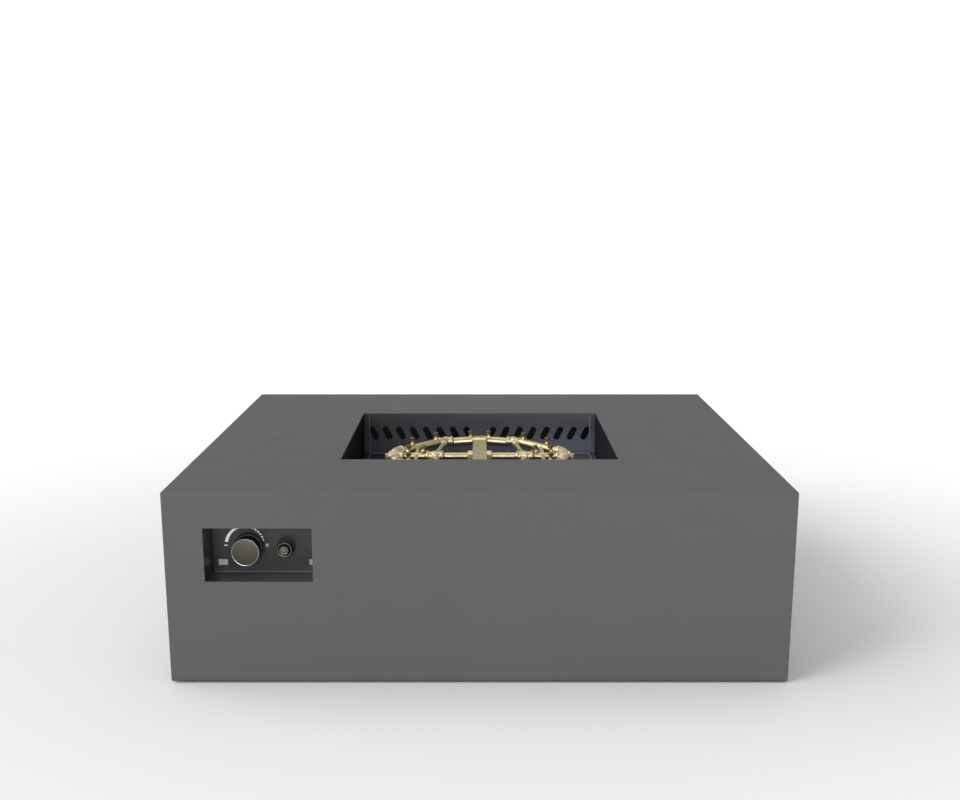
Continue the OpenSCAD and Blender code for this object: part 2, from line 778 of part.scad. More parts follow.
// Male inlet that points down, clamped in its bracket
module gas_inlet_fitting() {
    color("goldenrod") translate([bracket_x, 0, 0]) difference() {
        union() {
            translate([0, 0, inlet_plate_z - 30]) cylinder(r = inlet_r, h = inlet_thread_l);
            translate([0, 0, inlet_plate_z - 10]) cylinder(r = inlet_neck_r, h = 14);
            translate([0, 0, inlet_plate_z + 3]) cylinder(r = 15, h = 13, $fn = 6);
            translate([0, 0, inlet_plate_z + 15]) cylinder(r = 7, h = 15);
        }
        translate([0, 0, inlet_plate_z - 30 - cut]) cylinder(r = 5, h = 60 + 2 * cut);
    }
}

module inlet_bracket() {
    plate_r = bracket_x + 28;
    color("silver") difference() {
        union() {
            block(-rail_in, -rail_in + 3, -25, 25, frame_z, inlet_plate_z + 3);
            block(-rail_in + 3, plate_r, -25, 25, inlet_plate_z, inlet_plate_z + 3);
        }
        translate([bracket_x, 0, inlet_plate_z - cut]) cylinder(r = inlet_r + 0.35, h = 3 + 2 * cut);
    }
}

module inlet_locknut() {
    color("goldenrod") translate([bracket_x, 0, 0])
        ring_nut(inlet_plate_z - inlet_nut_h, inlet_nut_h, 16, inlet_neck_r + fit_gap);
}

// ---- valve ----

module gas_valve() {
    cavity_y = panel_y + 4;
    color("darkkhaki") difference() {
        union() {
            rod_y([knob_x, panel_y - 7, knob_z], neck_r, 12);
            rod_y([knob_x, panel_y + panel_t, knob_z], 13, valve_y - panel_y - panel_t);
            block(knob_x - valve_w / 2, knob_x + valve_w / 2, valve_y, valve_y + valve_l,
                knob_z - valve_w / 2, knob_z + valve_w / 2);
            rod_y([knob_x, valve_y + valve_l, knob_z], boss_r, boss_l);
            rod_x([knob_x - valve_w / 2 - boss_l, inlet_boss_y, knob_z], boss_r, boss_l);
            translate([knob_x, tc_boss_y, knob_z - valve_w / 2 - tc_boss_l]) cylinder(r = 5, h = tc_boss_l);
        }
        rod_y([knob_x, cavity_y, knob_z], 9.5, valve_y - cavity_y);
        rod_y([knob_x, panel_y - 7 - cut, knob_z], stem_r + fit_gap, valve_y - panel_y + 24);
        rod_y([knob_x, valve_y + 24, knob_z], 5, valve_l);
        rod_x([knob_x - valve_w / 2 - boss_l - cut, inlet_boss_y, knob_z], 5, boss_l + valve_w / 2);
    }
}

module valve_nut() {
    color("silver") difference() {
        hex_y([knob_x, panel_y - 4, knob_z], 13.5, 4);
        rod_y([knob_x, panel_y - 4 - cut, knob_z], neck_r + fit_gap, 4 + 2 * cut);
    }
}

module valve_stem() {
    collar_y = panel_y + 4.3;
    color("silver") union() {
        rod_y([knob_x, panel_y - 38, knob_z], stem_r, 70);
        rod_y([knob_x, collar_y, knob_z], 5.5, washer_y - collar_y - 0.1);
    }
}

module thrust_washer() {
    color("silver") difference() {
        rod_y([knob_x, washer_y, knob_z], 8.9, washer_t);
        rod_y([knob_x, washer_y - cut, knob_z], stem_r + 0.3, washer_t + 2 * cut);
    }
}

module valve_spring() {
    color("gray") translate([knob_x, washer_y + washer_t + 0.05, knob_z])
        spring(6.5, valve_y - washer_y - washer_t - 0.1, 5);
}

// ---- control recess ----

module control_box() {
    x0 = win_l - box_t;
    x1 = win_r + box_t;
    z0 = recess_low - box_t;
    z1 = recess_top + box_t;
    y0 = front + sheet_t;
    back = panel_y + panel_t;
    color("darkslategray") difference() {
        union() {
            block(x0, x1, y0, back + box_t, z0, z1);
            block(x0 - box_lip, x1 + box_lip, y0, y0 + box_t, z0 - box_lip, z1 + box_lip);
        }
        block(win_l, win_r, y0 - cut, back, recess_low, recess_top);
        block(win_l + box_back, win_r - box_back, back - cut, back + box_t + cut,
            recess_low + box_back, recess_top - box_back);
        for (x = screw_x, z = screw_z) rod_y([x, back - cut, z], 2.1, box_t + 2 * cut);
        for (p = box_stud_at()) rod_y([p[0], y0 - cut, p[1]], stud_r + 0.2, box_t + 2 * cut);
    }
}

module control_panel() {
    gap = 0.2;
    color("darkslategray") difference() {
        block(win_l + gap, win_r - gap, panel_y, panel_y + panel_t,
            recess_low + gap, recess_top - gap);
        rod_y([knob_x, panel_y - cut, knob_z], neck_r + 0.2, panel_t + 2 * cut);
        rod_y([ign_x, panel_y - cut, knob_z], barrel_r + 0.3, panel_t + 2 * cut);
        for (x = screw_x, z = screw_z) rod_y([x, panel_y - cut, z], 2.1, panel_t + 2 * cut);
    }
}

module panel_screws() {
    color("silver") for (x = screw_x, z = screw_z) difference() {
        union() {
            rod_y([x, panel_y - 0.9, z], 2.6, 0.9);
            rod_y([x, panel_y, z], 2, 9);
        }
        translate([x, panel_y - 0.9, z]) cube([3.4, 0.9, 0.7], center = true);
        translate([x, panel_y - 0.9, z]) cube([0.7, 0.9, 3.4], center = true);
    }
}

// Stretch of the dial's tapered band between the angles a0 and a1
module band(a0, a1) {
    steps = 6;
    function half_w(a) = (arc_thin + (arc_thick - arc_thin) * a / 180) / 2;
    function at(a, r) = [r * cos(a), r * sin(a)];
    polygon(concat(
        [for (i = [0 : steps]) let (a = a0 + (a1 - a0) * i / steps) at(a, dial_r + half_w(a))],
        [for (i = [steps : -1 : 0]) let (a = a0 + (a1 - a0) * i / steps) at(a, dial_r - half_w(a))]));
}

module dial_print() {
    dash = 6.5;                             // degrees
    dash_gap = 3.5;
    mark_z = dial_z - 1;
    bar_x = dial_x - 38.5;
    circle_x = dial_x + 43.5;
    color("white") translate([0, panel_y, 0]) rotate([90, 0, 0]) linear_extrude(print_t) {
        translate([dial_x, dial_z]) {
            for (k = [0 : 7]) band(107 + 8 * k, 107 + 8 * (k + 1));
            for (k = [0 : 8]) band(12 + (dash + dash_gap) * k, 12 + (dash + dash_gap) * k + dash);
        }
        translate([bar_x, mark_z]) square([7, 2.2], center = true);
        translate([circle_x, mark_z]) difference() {
            circle(3);
            circle(1.9);
        }
    }
}

module panel_labels() {
    label_h = 12;
    label_z = recess_low + 20.4;
    color("lavender") translate([0, panel_y, 0]) rotate([90, 0, 0]) linear_extrude(print_t) {
        translate([win_l + 20, label_z]) square([18.4, label_h], center = true);
        translate([win_r - 11.5, label_z]) square([12, label_h], center = true);
    }
}

// ---- knob and igniter ----

// Ribbed grip outline
module rib_outline() {
    polygon([for (i = [0 : rib_count - 1], k = [0 : 3])
        let (a = 360 * (i + [0, 0.3, 0.5, 0.8][k]) / rib_count, r = grip_r - (k < 2 ? 0 : rib_h))
        [r * cos(a), r * sin(a)]]);
}

module knob_body() {
    back = panel_y - knob_lift;
    grip_l = knob_reach - cap_t - knob_lift - skirt_h;
    color("black") difference() {
        union() {
            translate([knob_x, back, knob_z]) rotate([90, 0, 0]) {
                cylinder(r = skirt_d / 2, h = skirt_h - 1.5);
                translate([0, 0, skirt_h - 1.5])
                    cylinder(r1 = skirt_d / 2, r2 = skirt_d / 2 - 2, h = 1.5);
                translate([0, 0, skirt_h]) linear_extrude(grip_l) rib_outline();
            }
            block(knob_x + grip_r - 2, knob_x + skirt_d / 2 - 2.6, back - skirt_h - 1,
                back - skirt_h + 1, knob_z - 1, knob_z + 1);
        }
        rod_y([knob_x, back - hub_depth, knob_z], 16, hub_depth + cut);
        rod_y([knob_x, panel_y - 38 - 0.5, knob_z], stem_r + fit_gap, 38);
    }
}

module knob_cap() {
    face = panel_y - knob_reach;
    color("gray") translate([knob_x, face + cap_t, knob_z]) rotate([90, 0, 0]) union() {
        cylinder(r = knob_d / 2, h = cap_t - 0.8, $fn = 96);
        translate([0, 0, cap_t - 0.8]) cylinder(r1 = knob_d / 2, r2 = knob_d / 2 - 0.8, h = 0.8, $fn = 96);
    }
}

module igniter_housing() {
    color("black") difference() {
        union() {
            rod_y([ign_x, panel_y - ign_base_t, knob_z], ign_base_r, ign_base_t);
            rod_y([ign_x, panel_y, knob_z], barrel_r, barrel_l);
            rod_y([ign_x, panel_y + barrel_l, knob_z], 3, 6);
        }
        rod_y([ign_x, panel_y - ign_base_t - cut, knob_z], button_d / 2 + 0.6, 12 + cut);
        rod_y([ign_x, panel_y, knob_z], battery_r + 0.3, barrel_l - 4);
    }
}

module igniter_ring() {
    lip = 2;
    color("silver") translate([ign_x, panel_y - ign_base_t, knob_z]) rotate([90, 0, 0])
        difference() {
            union() {
                cylinder(r = ring_d / 2, h = ign_ring_l - lip);
                translate([0, 0, ign_ring_l - lip])
                    cylinder(r1 = ring_d / 2, r2 = ring_d / 2 - lip + 0.4, h = lip);
            }
            translate([0, 0, -cut]) cylinder(r = button_d / 2 + 0.6, h = ign_ring_l + 2 * cut);
        }
}

module igniter_button() {
    face = panel_y - ign_base_t - ign_ring_l - button_proud;
    color("dimgray") translate([ign_x, face + button_l, knob_z]) rotate([90, 0, 0]) difference() {
        union() {
            cylinder(r = button_d / 2, h = button_l - 1);
            translate([0, 0, button_l - 1])
                cylinder(r1 = button_d / 2, r2 = button_d / 2 - 1, h = 1);
        }
        for (r = [2.4, 4.6, 6.8]) translate([0, 0, button_l - 0.5]) difference() {
            cylinder(r = r + 0.5, h = 1);
            translate([0, 0, -cut]) cylinder(r = r, h = 1 + 2 * cut);
        }
        translate([0, 0, -cut]) cylinder(r = 7.5, h = 6 + cut);
    }
}

module igniter_spring() {
    start = panel_y - ign_base_t - ign_ring_l - button_proud + button_l - 6;
    color("gray") translate([ign_x, start + 0.05, knob_z])
        spring(6, panel_y + barrel_l - 4 - battery_l - start - 0.1, 6);
}

module igniter_nut() {
    color("silver") difference() {
        hex_y([ign_x, panel_y + panel_t, knob_z], 19, 5);
        rod_y([ign_x, panel_y, knob_z], barrel_r + fit_gap, 8);
    }
}

module igniter_battery() {
    color("olive") rod_y([ign_x, panel_y + barrel_l - 4 - battery_l, knob_z], battery_r, battery_l);
}

// ---- pilot ----

module pilot_bracket() {
    shelf_z = floor_z + 16;
    t = 2;
    deep = 14;
    x0 = tc_x - deep;
    x1 = spark_x + deep;
    back = pilot_y - deep;
    color("silver") difference() {
        union() {
            block(x0, x1, back, pilot_y + deep, shelf_z, shelf_z + t);
            block(x0, x1, back, back + t, floor_z, shelf_z);
            block(x0, x1, back - deep, back, floor_z, floor_z + t);
        }
        translate([spark_x, pilot_y, shelf_z - cut]) cylinder(r = ceramic_d / 2 + 0.1, h = t + 2 * cut);
        translate([tc_x, pilot_y, shelf_z - cut]) cylinder(r = tc_d / 2 + 0.1, h = t + 2 * cut);
    }
}

module spark_electrode() {
    ceramic_l = burner_z - 10 - pilot_z;
    tip_l = 16;
    color("white") translate([spark_x, pilot_y, pilot_z]) {
        cylinder(r = ceramic_d / 2, h = ceramic_l);
        translate([0, 0, ceramic_l]) cylinder(r = 1.25, h = tip_l);
    }
    color("silver") translate([tc_x, pilot_y, pilot_z]) {
        cylinder(r = tc_d / 2, h = burner_z - pilot_z);
    }
}

outer_shell();
base_rails_long();
base_rails_short();
corner_posts();
top_stiffeners();
tray_beams();
beam_brackets();
foot_pads();
tray_wall_rear();
tray_wall_front();
tray_wall_left();
tray_wall_right();
tray_floor();
casing_studs();
casing_nuts();
burner_manifold();
burner_collars();
burner_cross_pipes();
burner_crosses();
burner_ring_pipes();
burner_side_pipes();
burner_arms();
burner_corners();
burner_elbows();
burner_end_tees();
burner_plugs();
burner_links();
burner_ring_tees();
burner_jets();
tilted_jets();
burner_supports();
inlet_nipple();
burner_locknuts();
air_mixer();
burner_hose();
supply_hose();
gas_inlet_fitting();
inlet_bracket();
inlet_locknut();
gas_valve();
valve_nut();
valve_stem();
thrust_washer();
valve_spring();
control_box();
control_panel();
panel_screws();
dial_print();
panel_labels();
knob_body();
knob_cap();
igniter_housing();
igniter_ring();
igniter_button();
igniter_spring();
igniter_nut();
igniter_battery();
pilot_bracket();
spark_electrode();
pilot_leads();
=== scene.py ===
import json
import math

import bmesh
import bpy
import numpy as np
from mathutils import Matrix, Vector


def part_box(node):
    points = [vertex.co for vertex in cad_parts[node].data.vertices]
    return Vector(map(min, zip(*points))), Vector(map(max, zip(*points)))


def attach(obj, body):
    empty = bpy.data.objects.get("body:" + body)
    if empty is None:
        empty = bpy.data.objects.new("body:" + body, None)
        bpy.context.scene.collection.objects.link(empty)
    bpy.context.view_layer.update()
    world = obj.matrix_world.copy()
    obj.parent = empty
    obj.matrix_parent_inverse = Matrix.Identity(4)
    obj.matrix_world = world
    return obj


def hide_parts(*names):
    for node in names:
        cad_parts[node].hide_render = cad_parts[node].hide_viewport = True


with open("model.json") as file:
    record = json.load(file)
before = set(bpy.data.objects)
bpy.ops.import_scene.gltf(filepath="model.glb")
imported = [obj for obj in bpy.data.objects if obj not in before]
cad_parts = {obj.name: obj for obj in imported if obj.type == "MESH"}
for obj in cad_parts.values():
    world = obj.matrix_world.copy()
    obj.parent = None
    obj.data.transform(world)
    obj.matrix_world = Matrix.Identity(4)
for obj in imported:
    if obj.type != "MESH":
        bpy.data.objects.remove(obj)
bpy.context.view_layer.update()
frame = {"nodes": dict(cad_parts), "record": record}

scene = bpy.context.scene
MM = 0.001
TABLE = "table"
X, Y, Z = Vector((1, 0, 0)), Vector((0, 1, 0)), Vector((0, 0, 1))

# ---------------------------------------------------------------- camera

# The camera stands in front of the casing, looks slightly down and uses a rising front
CAMERA_RIGHT = 0.0008      # from the middle of the casing
CAMERA_AHEAD = 2.468       # from the front face
CAMERA_ABOVE = 0.5706      # above the table top
CAMERA_PITCH = 14.57       # degrees below the horizon
CAMERA_LENS = 49.82        # on a 36 mm wide sensor
CAMERA_RISE = 0.1338       # vertical shift, as a share of the picture's width


def make_camera():
    low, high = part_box("outer_shell")
    data = bpy.data.cameras.new("camera")
    data.sensor_width = 36.0
    data.lens = CAMERA_LENS
    data.shift_y = CAMERA_RISE
    camera = bpy.data.objects.new("camera", data)
    camera.location = (CAMERA_RIGHT, low.y - CAMERA_AHEAD, high.z + CAMERA_ABOVE)
    camera.rotation_euler = (math.radians(90 - CAMERA_PITCH), 0, 0)
    scene.collection.objects.link(camera)
    scene.camera = camera


# ---------------------------------------------------------------- material kit


class Material:
    """A Principled material and short ways to wire its nodes."""

    def __init__(self, name, roughness=0.5, metallic=0.0, specular=0.5):
        self.data = bpy.data.materials.new(name)
        self.data.use_nodes = True
        self.nodes = self.data.node_tree.nodes
        self.links = self.data.node_tree.links
        self.shader = self.nodes["Principled BSDF"]
        self.shader.inputs["Roughness"].default_value = roughness
        self.shader.inputs["Metallic"].default_value = metallic
        self.shader.inputs["Specular IOR Level"].default_value = specular
        self.place = self.nodes.new("ShaderNodeTexCoord").outputs["Object"]

    def link(self, out, to):
        self.links.new(out, to)

    def stretched(self, scale):
        node = self.nodes.new("ShaderNodeMapping")
        node.inputs["Scale"].default_value = scale
        self.link(self.place, node.inputs["Vector"])
        return node.outputs["Vector"]

    def noise(self, scale, detail=4.0, roughness=0.55, place=None):
        node = self.nodes.new("ShaderNodeTexNoise")
        node.inputs["Scale"].default_value = scale
        node.inputs["Detail"].default_value = detail
        node.inputs["Roughness"].default_value = roughness
        self.link(place or self.place, node.inputs["Vector"])
        return node.outputs["Fac"]

    def axes(self):
        """X, Y and Z of the place, each as its own output."""
        node = self.nodes.new("ShaderNodeSeparateXYZ")
        self.link(self.place, node.inputs["Vector"])
        return node.outputs

    def ramp(self, value, stops):
        """Colour ramp through (position, (r, g, b)) stops."""
        node = self.nodes.new("ShaderNodeValToRGB")
        points = node.color_ramp.elements
        while len(points) < len(stops):
            points.new(0.5)
        for point, (at, colour) in zip(points, stops):
            point.position = at
            point.color = (*colour, 1)
        self.link(value, node.inputs["Fac"])
        return node.outputs["Color"]

    def spread(self, value, low, high, start=0.3, end=0.7):
        """The value from start to end becomes low to high."""
        node = self.nodes.new("ShaderNodeMapRange")
        node.inputs["From Min"].default_value = start
        node.inputs["From Max"].default_value = end
        node.inputs["To Min"].default_value = low
        node.inputs["To Max"].default_value = high
        self.link(value, node.inputs["Value"])
        return node.outputs["Result"]

    def mix(self, factor, a, b, blend="MIX"):
        node = self.nodes.new("ShaderNodeMix")
        node.data_type = "RGBA"
        node.blend_type = blend
        for value, socket in ((factor, 0), (a, 6), (b, 7)):
            if isinstance(value, (int, float)):
                node.inputs[socket].default_value = value
            elif isinstance(value, tuple):
                node.inputs[socket].default_value = (*value, 1)
            else:
                self.link(value, node.inputs[socket])
        return node.outputs[2]

    def colour(self, out):
        self.link(out, self.shader.inputs["Base Color"])

    def rough(self, out):
        self.link(out, self.shader.inputs["Roughness"])

    def bump(self, height, distance):
        node = self.nodes.new("ShaderNodeBump")
        node.inputs["Distance"].default_value = distance
        self.link(height, node.inputs["Height"])
        self.link(node.outputs["Normal"], self.shader.inputs["Normal"])


# Coats with a sideways fade carry painted light: they turn to a paler tone towards the right, as the light
# falls there.
FADE_X = 0.26     # where coats that fade sideways reach their two tones


def tone(colour, factor):
    return tuple(min(1.0, c * factor) for c in colour)


def powder_coat(name, colour, roughness=0.6, specular=0.2, right=None, foot=None):
    """Baked coat with a fine orange-peel skin and a trace of dust. Right and foot paint light into the coat:
    it may fade to a paler painted-light tone at the right, and grow paler downwards with painted light: foot
    is (low height, high height, colour to multiply with at the low one)."""
    m = Material(name, roughness, specular=specular)
    base = colour
    if right:
        # Painted light: the coat fades across X from its own tone to the paler right-hand tone.
        base = m.mix(m.spread(m.axes()["X"], 0, 1, -FADE_X, FADE_X), colour, right)
    if foot:
        # Painted light: the coat grows paler downwards, multiplied by the foot colour at the low height and
        # below.
        low, high, lighter = foot
        base = m.mix(m.spread(m.axes()["Z"], 1, 0, low, high), base, m.mix(1.0, base, lighter, "MULTIPLY"))
    dust = m.ramp(m.noise(1.6, detail=4, roughness=0.5), [(0.3, (0.97,) * 3), (0.7, (1.0,) * 3)])
    base = m.mix(1.0, base, dust, "MULTIPLY")
    speck = m.spread(m.noise(2400, detail=1), 0, 0.10, 0.55, 0.75)
    m.colour(m.mix(speck, base, tone(colour, 1.4)))
    m.rough(m.spread(m.noise(14, detail=6), roughness - 0.04, roughness + 0.05))
    m.bump(m.noise(620, detail=2, roughness=0.4), 0.05 * MM)
    return m.data


def brass(name, light, dark, tint=0.0, roughness=0.36, soot=None):
    """Brass with a faint cloudy tarnish and, where heated, a pink to violet bloom. Soot is (low height,
    high height, colour): the metal turns to that colour from the low height to the high one."""
    m = Material(name, roughness, metallic=1.0)
    clouds = m.noise(30, detail=3, roughness=0.5)
    base = m.ramp(clouds, [(0.30, dark), (0.45, tone(light, 0.94)), (0.62, light)])
    if tint:
        bloom = m.spread(m.noise(16, detail=2), 0, tint, 0.45, 0.65)
        violet = m.ramp(m.noise(40, detail=2), [(0.4, (0.62, 0.40, 0.32)), (0.62, (0.50, 0.38, 0.40))])
        base = m.mix(bloom, base, violet)
    if soot:
        low, high, black = soot
        base = m.mix(m.spread(m.axes()["Z"], 0, 1, low, high), base, black)
    m.colour(base)
    m.rough(m.spread(m.noise(70, detail=3), roughness - 0.04, roughness + 0.08))
    m.bump(m.noise(180, detail=2), 0.006 * MM)
    return m.data


def steel(name, colour, roughness=0.32, grain=(40, 40, 2600)):
    """Brushed or plated steel."""
    m = Material(name, roughness, metallic=1.0)
    m.colour(m.ramp(m.noise(55, detail=5), [(0.3, tone(colour, 0.85)), (0.7, tone(colour, 1.12))]))
    m.rough(m.spread(m.noise(160, detail=4), roughness - 0.07, roughness + 0.10))
    m.bump(m.noise(1, detail=2, place=m.stretched(grain)), 0.02 * MM)
    return m.data


def turned_metal(name, colour, centre, rings, roughness):
    """Metal faced on a lathe about an axis along Y: fine rings round the centre."""
    m = Material(name, roughness, metallic=1.0)
    shift = m.nodes.new("ShaderNodeVectorMath")
    shift.operation = "SUBTRACT"
    shift.inputs[1].default_value = (centre.x, centre.y, centre.z)
    m.link(m.place, shift.inputs[0])
    flat = m.nodes.new("ShaderNodeVectorMath")
    flat.operation = "MULTIPLY"
    flat.inputs[1].default_value = (1, 0, 1)
    m.link(shift.outputs[0], flat.inputs[0])
    length = m.nodes.new("ShaderNodeVectorMath")
    length.operation = "LENGTH"
    m.link(flat.outputs[0], length.inputs[0])
    grooves = m.nodes.new("ShaderNodeTexNoise")
    grooves.noise_dimensions = "1D"
    grooves.inputs["Scale"].default_value = rings
    grooves.inputs["Detail"].default_value = 2
    m.link(length.outputs["Value"], grooves.inputs["W"])
    groove = grooves.outputs["Fac"]
    m.colour(m.ramp(groove, [(0.3, tone(colour, 0.82)), (0.7, tone(colour, 1.15))]))
    m.rough(m.spread(groove, roughness - 0.05, roughness + 0.12))
    m.bump(groove, 0.02 * MM)
    return m.data


def plastic(name, colour, roughness):
    m = Material(name, roughness)
    m.colour(m.ramp(m.noise(30, detail=4), [(0.35, tone(colour, 0.85)), (0.65, tone(colour, 1.2))]))
    m.rough(m.spread(m.noise(220, detail=3), roughness - 0.06, roughness + 0.08))
    m.bump(m.noise(900, detail=2), 0.03 * MM)
    return m.data


def printed(name, ink, worn):
    """Ink or paint with slight wear."""
    m = Material(name)
    m.colour(m.ramp(m.noise(420, detail=5), [(0.34, worn), (0.46, ink)]))
    m.rough(m.spread(m.noise(300), 0.44, 0.58))
    m.bump(m.noise(1600, detail=2), 0.01 * MM)
    return m.data


def label_stock(name, paper, ink, low, high):
    """Pale label with a few plain broken rules, set out in the label's own height."""
    m = Material(name, 0.42)
    wave = m.nodes.new("ShaderNodeTexWave")
    wave.bands_direction = "Z"
    wave.inputs["Scale"].default_value = 0.8 / (high.z - low.z)
    m.link(m.place, wave.inputs["Vector"])
    rules = m.spread(wave.outputs["Fac"], 0, 0.55, 0.72, 0.80)
    broken = m.spread(m.noise(1, place=m.stretched((420, 1, 30)), detail=1), 0, 1, 0.42, 0.46)
    ink_here = m.nodes.new("ShaderNodeMath")
    ink_here.operation = "MULTIPLY"
    m.link(rules, ink_here.inputs[0])
    m.link(broken, ink_here.inputs[1])
    m.colour(m.mix(ink_here.outputs[0], paper, ink))
    m.rough(m.spread(m.noise(300), 0.36, 0.5))
    m.bump(m.noise(1200, detail=2), 0.01 * MM)
    return m.data


def rubber(name, colour, roughness=0.7):
    m = Material(name, roughness)
    m.colour(m.ramp(m.noise(80, detail=5), [(0.3, tone(colour, 0.7)), (0.7, tone(colour, 1.5))]))
    m.rough(m.spread(m.noise(200), roughness - 0.08, roughness + 0.1))
    m.bump(m.noise(1500, detail=3), 0.05 * MM)
    return m.data


def ceramic(name, colour):
    m = Material(name, 0.18)
    m.colour(m.ramp(m.noise(120, detail=4), [(0.3, tone(colour, 0.86)), (0.7, colour)]))
    m.rough(m.spread(m.noise(260), 0.12, 0.3))
    m.shader.inputs["Coat Weight"].default_value = 0.4
    return m.data


# ---------------------------------------------------------------- mesh kit


class Builder:
    """Collects closed shapes in one mesh."""

    def __init__(self):
        self.points = []
        self.faces = []

    def add(self, points, faces, matrix=None):
        first = len(self.points)
        self.points += [matrix @ Vector(p) if matrix else Vector(p) for p in points]
        self.faces += [tuple(i + first for i in face) for face in faces]
        return self

    def mesh(self, name, sharp=32):
        mesh = bpy.data.meshes.new(name)
        mesh.from_pydata([tuple(p) for p in self.points], [], self.faces)
        bm = bmesh.new()
        bm.from_mesh(mesh)
        bmesh.ops.recalc_face_normals(bm, faces=bm.faces)
        mark_sharp(bm, sharp)
        bm.to_mesh(mesh)
        bm.free()
        return mesh


def mark_sharp(bm, degrees):
    """Smooth faces with creases at the edges that are sharper than the angle."""
    limit = math.radians(degrees)
    for face in bm.faces:
        face.smooth = True
    for edge in bm.edges:
        edge.smooth = edge.is_manifold and edge.calc_face_angle(0) < limit


def piece(name, builder, material, body=TABLE, replaces=(), sharp=32):
    """Adds the shapes as one named piece that rides on a body and may stand for CAD nodes."""
    mesh = builder.mesh(name, sharp)
    mesh.materials.append(material)
    obj = bpy.data.objects.new(name, mesh)
    scene.collection.objects.link(obj)
    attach(obj, body)
    if replaces:
        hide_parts(*replaces)


def aim(origin, direction, turn=0.0):
    """Matrix that stands +Z of a shape at the origin, along the direction."""
    quaternion = Vector(direction).to_track_quat("Z", "Y")
    return Matrix.Translation(origin) @ quaternion.to_matrix().to_4x4() @ Matrix.Rotation(turn, 4, "Z")


def softened(profile, radius, steps=3, ring=False):
    """The profile with each corner rounded by about the radius."""
    out = []
    count = len(profile)
    for i, here in enumerate(profile):
        before, after = profile[i - 1], profile[(i + 1) % count]
        here = Vector(here)
        if not ring and i in (0, count - 1):
            out.append(tuple(here))
            continue
        to_before, to_after = Vector(before) - here, Vector(after) - here
        if abs(to_before.angle(to_after, math.pi)) > math.radians(160):
            out.append(tuple(here))
            continue
        cut = min(radius, to_before.length * 0.45, to_after.length * 0.45)
        a, b = here + to_before.normalized() * cut, here + to_after.normalized() * cut
        for k in range(steps + 1):
            t = k / steps
            out.append(tuple(a * (1 - t) ** 2 + here * 2 * t * (1 - t) + b * t * t))
    return out


def stacked(count, layers, ring=False):
    """Faces of a skin with so many points per layer, closed at both ends or, for a ring, on itself."""
    faces = []
    for i in range(layers if ring else layers - 1):
        up = ((i + 1) % layers - i) * count
        for k in range(count):
            a, b = i * count + k, i * count + (k + 1) % count
            faces.append((a, b, b + up, a + up))
    if not ring:
        faces.append(tuple(range(count))[::-1])
        faces.append(tuple(range((layers - 1) * count, layers * count)))
    return faces


def turned(profile, segments=64, ring=False):
    """Solid turned about +Z from (radius, height) points. A ring's profile closes on itself;
    otherwise its two ends are closed on the axis."""
    points = []
    for radius, height in profile:
        for k in range(segments):
            angle = 2 * math.pi * k / segments
            points.append((radius * math.cos(angle), radius * math.sin(angle), height))
    return points, stacked(segments, len(profile), ring)


def prism(outline, layers):
    """Outline of (x, y) points through (scale, height) layers, closed at both ends."""
    points = [(x * scale, y * scale, height) for scale, height in layers for x, y in outline]
    return points, stacked(len(outline), len(layers))


def hexagon(radius, height, chamfer=0.08, per_side=6):
    """Nut-like hexagon whose corners are turned down at both ends."""
    outline = []
    for side in range(6):
        a = Vector((math.cos(side * math.pi / 3), math.sin(side * math.pi / 3)))
        b = Vector((math.cos((side + 1) * math.pi / 3), math.sin((side + 1) * math.pi / 3)))
        outline += [tuple((a + (b - a) * k / per_side) * radius) for k in range(per_side)]
    flat = radius * math.cos(math.pi / 6)
    points = []
    for level, turned_down in ((0, True), (chamfer * radius, False), (height - chamfer * radius, False),
                               (height, True)):
        for x, y in outline:
            factor = min(1.0, flat * 0.97 / math.hypot(x, y)) if turned_down else 1.0
            points.append((x * factor, y * factor, level))
    return points, stacked(len(outline), 4)


def threads(start, end, radius, pitch, depth):
    """(radius, height) points of a threaded stretch."""
    out = []
    count = max(1, round(abs(end - start) / pitch))
    for k in range(count):
        a = start + (end - start) * k / count
        b = start + (end - start) * (k + 0.5) / count
        out += [(radius - depth, a), (radius, b)]
    out.append((radius - depth, end))
    return out


def route_curve(points, steps):
    """Smooth curve through the points, with so many steps between each pair."""
    out = []
    p = [Vector(q) for q in points]
    for i in range(len(p) - 1):
        a, b, c, d = p[max(i - 1, 0)], p[i], p[i + 1], p[min(i + 2, len(p) - 1)]
        for k in range(steps):
            t = k / steps
            out.append(0.5 * (2 * b + (c - a) * t + (2 * a - 5 * b + 4 * c - d) * t ** 2
                              + (3 * b - a - 3 * c + d) * t ** 3))
    out.append(p[-1])
    return out


def even(path, spacing):
    """The path with points at an even spacing."""
    lengths = [0.0]
    for a, b in zip(path, path[1:]):
        lengths.append(lengths[-1] + (b - a).length)
    count = max(2, round(lengths[-1] / spacing))
    out, j = [], 0
    for i in range(count + 1):
        want = lengths[-1] * i / count
        while j < len(path) - 2 and lengths[j + 1] < want:
            j += 1
        span = lengths[j + 1] - lengths[j]
        out.append(path[j].lerp(path[j + 1], (want - lengths[j]) / span if span else 0))
    return out


def swept(path, radius_at, sides=16):
    """Round tube along a path; radius_at(i) is its radius at point i."""
    points = []
    across = None
    last = len(path) - 1
    for i, p in enumerate(path):
        along = (path[min(i + 1, last)] - path[max(i - 1, 0)]).normalized()
        if across is None:
            across = along.orthogonal().normalized()
        across = (across - along * across.dot(along)).normalized()
        other = along.cross(across)
        radius = radius_at(i)
        for k in range(sides):
            angle = 2 * math.pi * k / sides
            points.append(p + (across * math.cos(angle) + other * math.sin(angle)) * radius)
    return points, stacked(sides, len(path))


# ---------------------------------------------------------------- reading the frame


